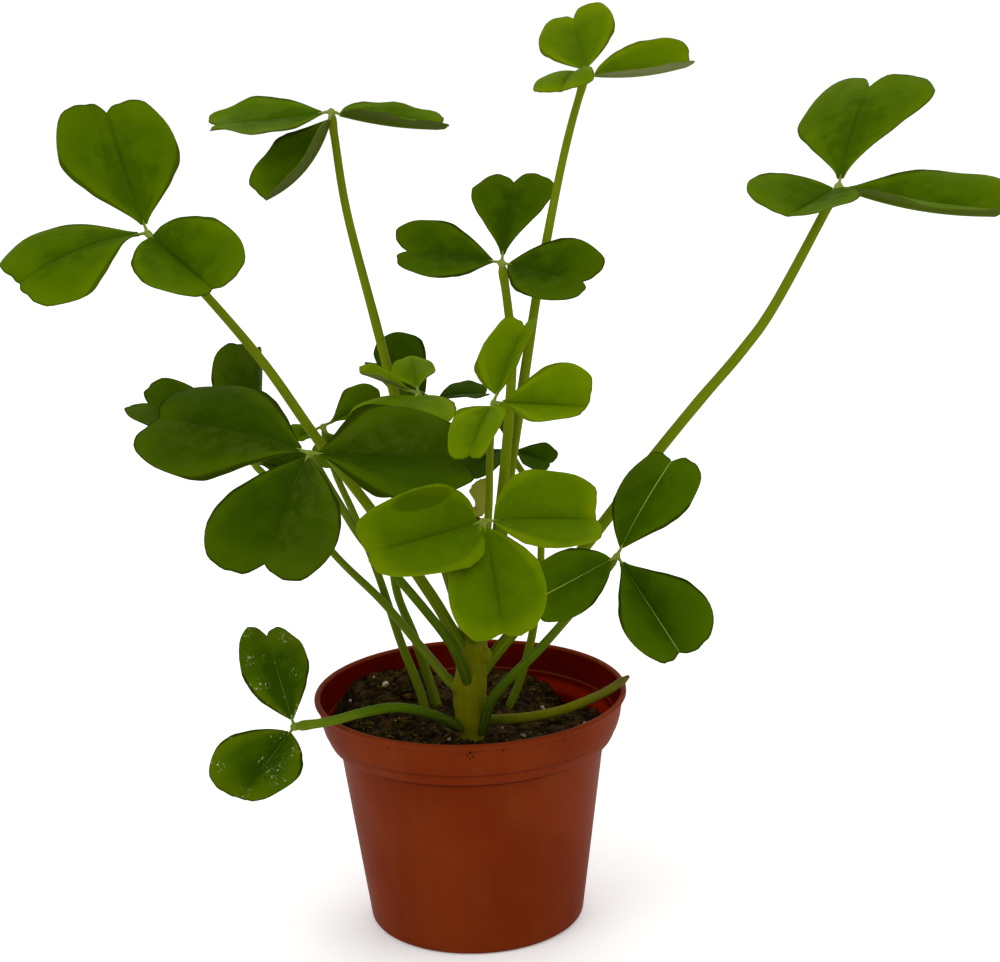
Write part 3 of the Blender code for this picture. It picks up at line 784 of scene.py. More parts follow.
class LeafTone(Enum):
    """The finishes of leaves: partly their own tones by age, partly copies painted lighter and darker for
    leaves that stand in light and in shade.
    """

    FRESH = LeafSkin(
        "fresh leaf", middle=(94, 118, 0), heart=(80, 104, 0), margin=(112, 132, 2), rib=(112, 128, 30),
        under=(112, 120, 60), edge=(60, 74, 4), rim=0.78, mottled=0.2,
    )
    GLOWING = LeafSkin(
        "leaf with a bright margin", middle=(80, 104, 0), heart=(72, 95, 0), margin=(108, 127, 2),
        rib=(104, 120, 26), under=(110, 120, 60), edge=(90, 106, 4), outline=0.2, rib_show=0.3, rib_end=0.4,
        # lens: middle of a painted shadow where a leaf behind darkens this one
        crease=0.4, rim=0.8, mottled=0.22, lens=(-10.4, -99.0, 174.4),
    )
    OPEN = LeafSkin(
        "open leaf", middle=(74, 98, 0), heart=(60, 84, 0), margin=(90, 113, 0), rib=(84, 106, 24),
        under=(74, 84, 26), rib_end=0.4, crease=0.5, mottled=0.3,
    )
    LIGHT = LeafSkin(
        "light leaf", middle=(88, 112, 0), heart=(74, 98, 0), margin=(110, 130, 4), rib=(112, 128, 50),
        under=(112, 118, 74), rib_end=0.6,
    )
    DEEP = LeafSkin(
        "deep green leaf", middle=(62, 84, 0), heart=(48, 68, 0), margin=(78, 98, 0), rib=(90, 106, 40),
        under=(80, 88, 40), outline=0.75, rib_end=0.5, crease=0.2, fading=0.6, mottled=0.3,
    )
    RIBBED = LeafSkin(
        "deep leaf with a pale midrib", middle=(66, 90, 0), heart=(54, 78, 0), margin=(76, 102, 0),
        rib=(140, 160, 72), under=(80, 88, 40), outline=0.75, rib_show=1.0, rib_end=1.6, crease=0.25,
        fading=0.6, mottled=0.25,
    )
    SHADED = LeafSkin(
        "shaded leaf", middle=(53, 73, 0), heart=(44, 63, 0), margin=(72, 93, 0), rib=(90, 108, 44),
        under=(88, 92, 60), outline=0.7, rib_end=0.45, crease=0.2, fading=0.7, mottled=0.25, bloom=0.45,
    )
    # painted shade: the darkest copy, for leaves at the back
    DARKEST = LeafSkin(
        "dark leaf at the back", middle=(48, 68, 0), heart=(40, 58, 0), margin=(56, 80, 0),
        rib=(86, 104, 40), under=(84, 92, 60), outline=0.7, crease=0.1, fading=0.6,
    )
    SPLASHED = LeafSkin(
        "splashed leaf", middle=(60, 84, 0), heart=(48, 70, 0), margin=(88, 106, 2), rib=(112, 128, 66),
        under=(84, 92, 50), outline=0.8, rib_show=0.8, rib_end=0.7, crease=0.1, rim=0.6, fading=0.9,
        mottled=0.35, splashes=0.16,
    )


# Its lines are painted shade: a dark line under the step of the collar, and a fainter one in the crease
# above it.
POT_OUTSIDE = PotPlastic(
    "terracotta plastic", colour=(106, 43, 16), shade=(98, 37, 12), bloom=(109, 51, 28), dirt=(36, 14, 6),
    soiled=0.06, specular=0.02, lines=((63.9, 1.3, 0.9, (52, 16, 4)), (68.5, 0.6, 0.55, (64, 20, 6))),
)
# Darker than the outside: partly soil stains, partly painted shade inside the pot. Its lines are a painted
# band of light on the ledge and a painted highlight along the edge above it.
POT_INSIDE = PotPlastic(
    "soiled terracotta plastic with painted shade", colour=(84, 17, 4), shade=(68, 13, 3), bloom=(98, 26, 8),
    dirt=(32, 16, 8), soiled=0.35, rough=0.6, specular=0.0,
    lines=((67.4, 2.6, 0.8, (124, 32, 8)), (70.8, 0.5, 0.5, (128, 66, 40))),
)
# by_depth lays painted shade in the gaps between clods.
SOIL_BED = PottingSoil(
    "potting soil", dark=(38, 27, 8), brown=(72, 55, 24), straw=(104, 90, 46), by_depth=True,
)
SOIL_CRUMB = PottingSoil("soil crumbs", dark=(42, 30, 9), brown=(74, 56, 20), straw=(104, 90, 40))
PERLITE = Grain("perlite", colour=(164, 150, 124), stain=(104, 86, 58))
STUCK_DIRT = PottingSoil("stuck dirt", dark=(24, 10, 4), brown=(44, 22, 8), straw=(70, 44, 20))
MOSS = PottingSoil("moss", dark=(36, 34, 7), brown=(56, 54, 13), straw=(78, 76, 26))
TRUNK_SKIN = StemSkin(
    "trunk skin", root=(106, 104, 3), middle=(88, 90, 3), top=(70, 78, 2), fibre=(120, 118, 30),
    by_height=(70, 125), rough=0.5, ribs=0.2,
)
STALK_SKIN = StemSkin(
    "stalk skin", root=(76, 90, 2), middle=(91, 106, 4), top=(98, 110, 14), fibre=(116, 126, 36),
    ribs=0.25,
)
GREEN_STALK_SKIN = StemSkin(
    "green stalk skin", root=(80, 92, 6), middle=(78, 96, 10), top=(88, 104, 22), fibre=(112, 124, 48),
    ribs=0.3,
)
# darker towards the root: painted shade where these stalks run low under the leaves
DARK_STALK_SKIN = StemSkin(
    "dark stalk skin", root=(50, 64, 3), middle=(64, 84, 5), top=(88, 106, 22), fibre=(104, 118, 44),
    ribs=0.3,
)
HUB_SKIN = StemSkin(
    "leaf joint", root=(84, 100, 22), middle=(104, 118, 40), top=(112, 126, 52), fibre=(140, 148, 92),
    by_height=(0, 300),
)
STUB_SKIN = StemSkin(
    "withered stalk", root=(84, 92, 6), middle=(92, 93, 12), top=(78, 70, 28), fibre=(108, 104, 40),
    rough=0.55, ribs=0.3,
)
YOUNG_SKIN = CloudedSkin("young leaf edge", first=(110, 114, 32), second=(128, 130, 46))


# The plant


@dataclass
class Pot:
    """The nursery pot: rolled lip, deep collar, step, tapering body and rounded foot."""

    height: float = 80.2
    rim: float = 52.5
    lip: float = 1.0
    under_lip: float = 51.2
    collar_foot: float = 64.5  # height of the step
    collar: float = 47.8
    body_top: float = 44.6
    foot: float = 36.4
    foot_rounding: float = 2.0
    wall: float = 1.2
    floor: float = 1.8
    sides: int = 144
    drain_holes: int = 8
    drain_radius: float = 3.5
    drain_ring: float = 24.0

    def arc(self, middle: tuple[float, float], radius: float, start: float, end: float, steps: int) -> Pairs:
        """Radius and height of the points of a rounding, from one angle to another."""
        turns = (math.radians(start + (end - start) * step / steps) for step in range(steps + 1))
        return [(middle[0] + radius * math.cos(turn), middle[1] + radius * math.sin(turn)) for turn in turns]

    def inside(self) -> Pairs:
        """Draws the inside of the wall.

        Returns:
            Radius and height of its points, from the floor up.
        """
        return [
            (self.foot - self.wall - 1.6, self.floor),
            (self.foot - self.wall - 0.2, self.floor + 1.5),
            (self.body_top - self.wall - 0.2, self.collar_foot - 2.7),
            (self.body_top - 0.7, self.collar_foot - 0.7),
            (self.collar - 0.9, self.collar_foot + 3.6),
            (self.collar - 0.4, self.collar_foot + 4.1),
            (self.collar + 0.6, self.collar_foot + 6.0),
            (self.under_lip - self.wall, self.height - 2.6),
        ]

    def profile(self) -> Pairs:
        """Draws the whole wall.

        Returns:
            Radius and height from the edge of the underside up the outside, and down the inside.
        """
        step = self.collar_foot
        rounding = self.foot_rounding
        return [
            *self.arc((self.foot - rounding, rounding), rounding, -90, -6, 6),
            (39.1, 22.0),
            (self.body_top, step - 1.3),
            (self.body_top + 0.25, step - 0.8),
            (self.body_top + 0.8, step - 0.5),
            (self.collar - 0.8, step - 0.1),
            (self.collar - 0.3, step + 0.2),
            (self.collar, step + 0.7),
            (self.collar + 0.5, step + 1.7),
            (48.95, step + 3.5),
            (49.02, step + 3.8),
            (49.4, step + 4.15),
            (49.6, step + 4.7),
            (50.4, 72.0),
            (self.under_lip, self.height - 2.6),
            *self.arc((self.rim - self.lip, self.height - self.lip), self.lip, -60, 180, 12),
            *reversed(self.inside()),
        ]

    def turn(self) -> Piece:
        """Draws the pot up from the edge of its underside, ring by ring, and back down inside.

        Returns:
            The pot, without its drain holes.
        """
        profile = self.profile()
        radius, height = profile[0]
        clear_selection()
        bpy.ops.mesh.primitive_circle_add(
            vertices=self.sides, radius=radius * MM, fill_type="NGON", location=(0, 0, height * MM),
        )
        pot = bpy.context.object
        bpy.ops.object.transform_apply(location=True)
        bpy.ops.object.mode_set(mode="EDIT")
        bpy.ops.mesh.select_mode(type="FACE")
        for (radius, low), (wider, high) in zip(profile, profile[1:]):
            bpy.ops.mesh.extrude_region_move(TRANSFORM_OT_translate={"value": (0, 0, (high - low) * MM)})
            share = wider / radius
            bpy.ops.transform.resize(value=(share, share, 1), center_override=(0, 0, high * MM))
        face_outwards()
        return pot

    def drill(self, pot: Piece) -> None:
        """Cuts the drain holes through the floor.

        Args:
            pot: The pot.
        """
        drills = []
        for hole in range(self.drain_holes):
            x, y = polar(self.drain_ring, TURN * hole / self.drain_holes)
            clear_selection()
            bpy.ops.mesh.primitive_cylinder_add(
                vertices=32, radius=self.drain_radius * MM, depth=4 * self.floor * MM,
                location=(x * MM, y * MM, 0),
            )
            drills.append(bpy.context.object)
        drill = join(drills)
        cut = pot.modifiers.new("Drain holes", "BOOLEAN")
        cut.operation = "DIFFERENCE"
        cut.solver = "EXACT"
        cut.object = drill
        apply_modifiers(pot)
        bpy.data.objects.remove(drill)

    def inside_radius(self, height: float) -> float:
        """Radius of the inside at a height."""
        return radius_at(height, self.inside())

    def dress(self, pot: Piece) -> None:
        """Gives the inside its soiled finish, darkened with painted shade and marked with painted light, and
        the rest its clean one.

        Args:
            pot: The pot.
        """
        coat(pot, POT_OUTSIDE.material())
        pot.data.materials.append(POT_INSIDE.material())
        for face in pot.data.polygons:
            middle, normal = face.center, face.normal
            inward = normal.x * middle.x + normal.y * middle.y < 0 or normal.z > 0.9
            if inward and 0.5 * self.floor * MM < middle.z < (self.height - 1.6) * MM:
                face.material_index = 1
        smooth(pot, angle=32)

    def build(self) -> None:
        """Builds the pot."""
        pot = self.turn()
        self.drill(pot)
        self.dress(pot)
        finish_piece(pot, "nursery_pot", "pot_plastic", "pot")


@dataclass
class Soil:
    """The soil bed with its crumbs, fibres, perlite and moss."""

    pot: Pot = field(default_factory=Pot)
    level: float = 69.8
    radius: float = 47.0
    cells: int = 160
    bumps: tuple[tuple[float, float, float, float], ...] = (  # x, y, height and spread of each rise or dip
        (-26.0, 26.0, 7.5, 12.0), (0.0, -19.0, 1.6, 9.0), (40.0, 8.0, -2.4, 16.0),
        (-14.0, -33.0, -0.9, 12.0), (4.0, 36.0, 1.6, 9.0), (35.0, 28.0, -5.2, 9.0),
    )
    sides: tuple[tuple[float, float], ...] = ((43.5, 63.0), (43.1, 61.6), (34.9, 3.5), (33.4, 2.0))
    clods: tuple[float, float] = (8.5, 4.0)  # sizes of the large ones and the small ones
    clod_rise: float = 3.2
    clod_sink: float = 1.5  # how far the gaps between clods lie under the soil's own height
    lump_rise: float = 0.9
    grit_rise: float = 0.3
    crumbs: int = 420
    fibres: int = 46
    fibre_lengths: tuple[float, float] = (2.5, 7.0)
    fibre_radii: tuple[float, ...] = (0.22, 0.24, 0.22, 0.2, 0.16, 0.1)
    stray_perlite: int = 18
    perlite: tuple[Point, ...] = (  # x and y of the grains that show, and their size
        (-29.6, 20.3, 1.5), (-41.8, 16.5, 0.9), (-24.4, -0.6, 0.8), (-7.3, -19.8, 0.8), (24.2, 11.5, 1.3),
        (32.3, 9.8, 1.1), (17.2, -15.5, 1.0), (38.3, -3.3, 0.9), (-34, 27, 1.0), (-20, 33, 0.9),
    )
    tufts: int = 26  # in each clump of moss
    moss: tuple[Point, ...] = (  # x, y and spread of each clump
        (-22.8, 15.7, 3.4), (-17, -12.5, 4.8), (-24, -4, 2.4), (-30, -15, 4.0),
        (-36, -5, 3.0), (29, -2, 2.0), (22, -19, 2.6),
    )
    stuck: tuple[Point, ...] = (  # across, height and size of each grain of dirt on the front of the collar
        (0.0, 77.4, 0.5), (-0.9, 76.4, 0.4), (0.7, 76.0, 0.5), (-0.2, 75.2, 0.35), (1.5, 77.6, 0.3),
        (7.2, 78.1, 0.4), (8.6, 78.4, 0.55), (9.8, 78.5, 0.6), (11.2, 78.3, 0.45), (10.4, 77.5, 0.35),
        (-26.0, 77.0, 0.35), (30.0, 76.4, 0.35), (-14.0, 70.5, 0.3), (20.0, 73.0, 0.3),
    )
    collar: Point = (49.3, 68.3, 0.21)  # its radius, the height of that radius, and its slope
    dice: random.Random = field(default_factory=lambda: random.Random(41))

    def base_height(self, x: float, y: float) -> float:
        """Works out the height of the soil's top without its lumps.

        Args:
            x: Place across.
            y: Place from front to back.

        Returns:
            The height.
        """
        height = self.level + 0.35 * math.sin(0.31 * x + 1.2) * math.cos(0.27 * y)
        for bump_x, bump_y, rise, spread in self.bumps:
            height += rise * math.exp(-((x - bump_x) ** 2 + (y - bump_y) ** 2) / (2 * spread**2))
        return height

    def clod(self, x: float, y: float, size: float) -> float:
        """Works out how high a place is on its clod.

        Args:
            x: Place across.
            y: Place from front to back.
            size: How large the clods are.

        Returns:
            From 0 in the gaps between clods up to 1 on top of the highest.
        """
        warp = noise.noise(Vector((x, y, 5.0)) / size) * 0.35
        reach, points = noise.voronoi(Vector((x / size + warp, y / size - warp, 0.0)))
        own = 0.5 + 0.5 * noise.noise(points[0] * 3.7)
        return min(1.0, 1.6 * (reach[1] - reach[0])) ** 0.6 * (0.35 + 0.65 * own)

    def rise(self, x: float, y: float) -> float:
        """How far the clods rise at a place, as a share of the most."""
        large, small = self.clods
        return 0.6 * self.clod(x, y, large) + 0.4 * self.clod(x + 31, y, small)

    def height(self, x: float, y: float) -> float:
        """Works out the height of the soil's lumpy top.

        Args:
            x: Place across.
            y: Place from front to back.

        Returns:
            The height.
        """
        lumps = noise.fractal(Vector((x, y, 3.0)) * 0.09, 0.7, 2.1, 4)
        grit = noise.fractal(Vector((x, y, 9.0)) * 0.62, 0.8, 2.0, 3)
        gaps = self.base_height(x, y) - self.clod_sink
        return gaps + self.clod_rise * self.rise(x, y) + self.lump_rise * lumps + self.grit_rise * grit

    def edge(self, turn: float) -> tuple[float, float]:
        """Radius and height of the soil where it meets the wall, in a direction."""
        height = max(self.height(*polar(self.radius, turn)), self.sides[0][1] + 1)
        return self.pot.inside_radius(height), height

    def bed(self) -> Piece:
        """Makes the soil itself: a disc with a lumpy top, drawn down to the pot's floor.

        Returns:
            The soil.
        """
        clear_selection()
        bpy.ops.mesh.primitive_grid_add(x_subdivisions=self.cells, y_subdivisions=self.cells, size=2)
        bed = bpy.context.object
        shares = []
        for vertex in bed.data.vertices:
            x, y, _ = vertex.co
            x, y = x * math.sqrt(1 - y * y / 2), y * math.sqrt(1 - x * x / 2)
            turn = math.atan2(y, x)
            radius, height = self.edge(turn)
            if math.hypot(x, y) < 0.999:
                x, y = x * radius, y * radius
                height = self.height(x, y)
            else:
                x, y = polar(radius, turn)
            # each point's rise on its clod goes into the UV map, for the painted shade in the gaps
            shares.append((self.rise(x, y), 0.0))
            vertex.co = Vector((x, y, height)) * MM
        set_uv(bed, shares)
        bpy.ops.object.mode_set(mode="EDIT")
        bpy.ops.mesh.select_mode(type="EDGE")
        bpy.ops.mesh.select_all(action="DESELECT")
        bpy.ops.mesh.select_non_manifold()
        for radius, height in self.sides:
            bpy.ops.mesh.extrude_region_move(TRANSFORM_OT_translate={"value": (0, 0, 0)})
            self.level_ring(bed, radius, height)
        bpy.ops.mesh.edge_face_add()
        face_outwards()
        coat(bed, SOIL_BED.material(), sharp=60)
        return bed

    def level_ring(self, bed: Piece, radius: float, height: float) -> None:
        """Sets the selected ring of points to one radius and height.

        Args:
            bed: The soil, in edit mode.
            radius: The ring's radius.
            height: Its height.
        """
        work = bmesh.from_edit_mesh(bed.data)
        for vertex in work.verts:
            if vertex.select:
                vertex.co.xy *= radius * MM / vertex.co.xy.length
                vertex.co.z = height * MM
        bmesh.update_edit_mesh(bed.data)

    def lump(self, detail: int, seed: float) -> Piece:
        """Makes an uneven lump of radius 1 mm, to be copied.

        Args:
            detail: How often its faces are split.
            seed: A number that sets its shape.

        Returns:
            The lump.
        """
        clear_selection()
        bpy.ops.mesh.primitive_ico_sphere_add(subdivisions=detail, radius=MM)
        lump = bpy.context.object
        for vertex in lump.data.vertices:
            vertex.co *= 1 + 0.55 * noise.noise(vertex.co / MM * 1.3 + Vector((seed, seed, seed)))
        return lump

    def scatter(self, shapes: list[Piece], places: Sequence[tuple[Vector, float]], flat: float) -> Piece:
        """Copies some shapes, turned at random.

        Args:
            shapes: The lumps to copy, which are removed afterwards.
            places: The middle and the size of each copy.
            flat: Least of a copy's three sizes, as a share of its size.

        Returns:
            All copies as one object.
        """
        copies = []
        for place, size in places:
            shape = self.dice.choice(shapes)
            copy = bpy.data.objects.new("copy", shape.data.copy())
            bpy.context.collection.objects.link(copy)
            turn = Matrix.Rotation(self.dice.uniform(0, TURN), 4, "Z") @ \
                Matrix.Rotation(self.dice.uniform(0, TURN), 4, "X")
            sizes = [size * self.dice.uniform(flat, 1.0) for _ in range(3)]
            copy.matrix_world = Matrix.Translation(place * MM) @ turn @ Matrix.Diagonal((*sizes, 1))
            copies.append(copy)
        made = join(copies)
        for shape in shapes:
            bpy.data.objects.remove(shape)
        return made

    def anywhere(self, size: float) -> Vector:
        """Picks a place at random on the soil.

        Args:
            size: Size of what is to lie there, a little sunk in.

        Returns:
            The place of its middle.
        """
        radius = (self.radius - 1.5) * math.sqrt(self.dice.random())
        turn = self.dice.uniform(0, TURN)
        height = self.height(*polar(radius, turn))
        x, y = polar(min(radius, self.pot.inside_radius(height) - size - 1), turn)
        return Vector((x, y, self.height(x, y) + 0.2 * size))

    def add_crumbs(self) -> None:
        """Adds crumbs of peat all over the soil, some under the lip of the pot, and short fibres."""
        sizes = [0.5 + 2.0 * self.dice.random() ** 3 for _ in range(self.crumbs)]
        places = [(self.anywhere(size), size) for size in sizes]
        shapes = [self.lump(1, seed) for seed in (1.0, 2.3, 3.7, 5.1)]
        pieces = [self.scatter(shapes, places, flat=0.45)]
        for _ in range(self.fibres):
            start = self.anywhere(0.5)
            way = Vector((*polar(1, self.dice.uniform(0, TURN)), self.dice.uniform(-0.1, 0.35)))
            bow = Vector((-way.y, way.x, 0)) * self.dice.uniform(-1.2, 1.2)
            length = self.dice.uniform(*self.fibre_lengths)
            points = [start, start + way * length / 2 + bow, start + way * length]
            if math.hypot(points[-1].x, points[-1].y) <= self.radius - 1:
                pieces.append(stem(smooth_route(points, len(self.fibre_radii) - 1), self.fibre_radii, 5))
        crumbs = join(pieces)
        coat(crumbs, SOIL_CRUMB.material())
        finish_piece(crumbs, "soil_crumbs", "soil")

    def add_dirt(self) -> None:
        """Adds grains of dirt that stick to the pot under its lip."""
        places = []
        radius, level, slope = self.collar
        for x, z, size in self.stuck:
            back = radius + (z - level) * slope
            places.append((Vector((x, -math.sqrt(back**2 - x**2), z)), size))
        dirt = self.scatter([self.lump(1, seed) for seed in (17.0, 19.4)], places, flat=0.6)
        coat(dirt, STUCK_DIRT.material())
        finish_piece(dirt, "stuck_dirt", "soil")

    def add_perlite(self) -> None:
        """Adds white perlite grains: those that show in front, and strays."""
        places = [(Vector((x, y, self.height(x, y) + 0.25 * size)), size) for x, y, size in self.perlite]
        for _ in range(self.stray_perlite):
            size = 0.25 + 0.4 * self.dice.random() ** 2
            places.append((self.anywhere(size), size))
        grains = self.scatter([self.lump(2, seed) for seed in (7.0, 8.9, 11.3)], places, flat=0.7)
        coat(grains, PERLITE.material(), sharp=40)
        finish_piece(grains, "perlite_grains", "perlite")

    def add_moss(self) -> None:
        """Adds small mossy clumps, each a heap of tufts."""
        places = []
        for x, y, spread in self.moss:
            for _ in range(self.tufts):
                turn, reach = self.dice.uniform(0, TURN), spread * math.sqrt(self.dice.random())
                at_x, at_y = x + reach * math.cos(turn), y + reach * math.sin(turn)
                height = self.height(at_x, at_y) + 0.9 * (1 - (reach / spread) ** 2)
                places.append((Vector((at_x, at_y, height)), self.dice.uniform(0.6, 1.1)))
        clumps = self.scatter([self.lump(1, seed) for seed in (13.0, 15.5)], places, flat=0.6)
        coat(clumps, MOSS.material(), sharp=50)
        finish_piece(clumps, "moss_clumps", "moss")

    def build(self) -> None:
        """Builds the soil and all that lies on it."""
        finish_piece(self.bed(), "soil_bed", "soil", "soil")
        self.add_crumbs()
        self.add_dirt()
        self.add_perlite()
        self.add_moss()


@dataclass
class Trunk:
    """The fleshy trunk with the knobs that old leaves left."""

    route: tuple[Point, ...] = (
        (0.5, -20, 57), (0.5, -20, 71), (0, -20, 83), (1, -17, 96), (2.3, -14, 109), (3.4, -10, 125),
        (4.3, -6, 141),
    )
    radii: tuple[float, ...] = (3.9, 4.1, 5.3, 5.3, 4.3, 3.3, 2.6)
    rings: int = 90
    sides: int = 28
    swelling: float = 0.05
    scar_spacing: float = 11.0
    knobs: tuple[tuple[Point, float, float], ...] = (  # place, and radius across and along
        ((-3.6, -20.4, 88.4), 2.6, 2.6), ((-2.2, -20.4, 83.0), 3.4, 5.0), ((5.2, -18.6, 98.6), 2.9, 2.8),
        ((3.2, -18.8, 93.0), 3.0, 4.6), ((2.0, -20.6, 78.0), 3.2, 5.0), ((0.0, -13.0, 104.0), 1.9, 3.2),
        ((4.4, -13.5, 118.0), 1.3, 2.6),
    )

    def girth(self, point: Vector) -> float:
        """Radius of the trunk at a point: its girth there, swelling at each scar, and uneven.

        Args:
            point: The point, on the trunk's middle line.

        Returns:
            The radius.
        """
        radius = radius_at(point.z, [(girth, place[2]) for place, girth in zip(self.route, self.radii)])
        swelling = self.swelling * math.cos(TURN * point.z / self.scar_spacing)
        return radius * (1 + swelling + 0.05 * noise.noise(point * 0.11))

    def build(self) -> None:
        """Builds the trunk as a swelling stem with its knobs melted in."""
        route = smooth_route(self.route, self.rings)
        lumps = [stem(route, [self.girth(point) for point in route], self.sides)]
        for place, across, along in self.knobs:
            lumps.append(ball(Vector(place), (across, across, along)))
        trunk = join(lumps)
        melt(trunk, voxel=0.45, rounds=6)
        coat(trunk, TRUNK_SKIN.material(), sharp=80)
        finish_piece(trunk, "plant_trunk", "trunk", "trunk")


@dataclass
class Stub:
    """The cut stalk that rests on the rim, with its withered tip."""

    route: tuple[Point, ...] = (
        (3.4, -17.4, 75.4), (9, -18.6, 75.9), (19.5, -21.8, 77.7), (31, -20, 79.3), (43, -12, 81),
        (49, -6, 82.2), (53.2, -1.2, 83.3),
    )
    radii: tuple[float, float] = (1.8, 1.4)
    rings: int = 70
    sides: int = 16
    withered: float = 0.06  # share of its length that narrows to the tip

    def build(self) -> None:
        """Builds the stub."""
        route = smooth_route(self.route, self.rings)
        radii = []
        for at in range(len(route)):
            share = at / (len(route) - 1)
            radius = self.radii[0] + (self.radii[1] - self.radii[0]) * share
            radius *= 1 + 0.15 * math.exp(-share / 0.05) + 0.04 * noise.noise(Vector((at * 0.2, 0, 0)))
            radii.append(radius * (1 - 0.55 * max(0.0, (share - 1 + self.withered) / self.withered)))
        stub = stem(route, radii, self.sides)
        coat(stub, STUB_SKIN.material(), sharp=60)
        finish_piece(stub, "cut_stalk_stub", "cut_stalk", "stub")


@dataclass(frozen=True)
class Leaflet:
    """One heart-shaped blade, folded along its midrib."""

    turn: float  # direction of the midrib in the leaf's plane
    lift: float  # rise of the tip out of that plane
    length: float  # from the hub to the end of the lobes
    width: float
    roll: float = 0.0  # turn about the midrib
    fold: float = 12.0  # rise of each half from the midrib, like a V
    curl: float = -10.0  # how far a half bends down again before its edge
    droop: float = 16.0  # bend of the midrib from base to tip
    twist: float = 0.0
    shoulder: float = 0.6  # reach of the blade's outer corners, as a share of its length
    taper: float = 1.6  # over 1 is a narrow base, under 1 a full one
    notch: float = 0.08
    slit: float = 3.0  # how narrow the notch is: 1 is a plain V
    corner: float = 0.5  # 0.5 rounds its outer corners, 1 leaves them sharp
    wave: float = 0.5  # height of the ripples along its edge
    lean: float = 0.0  # how much lower its left shoulder is than its right one


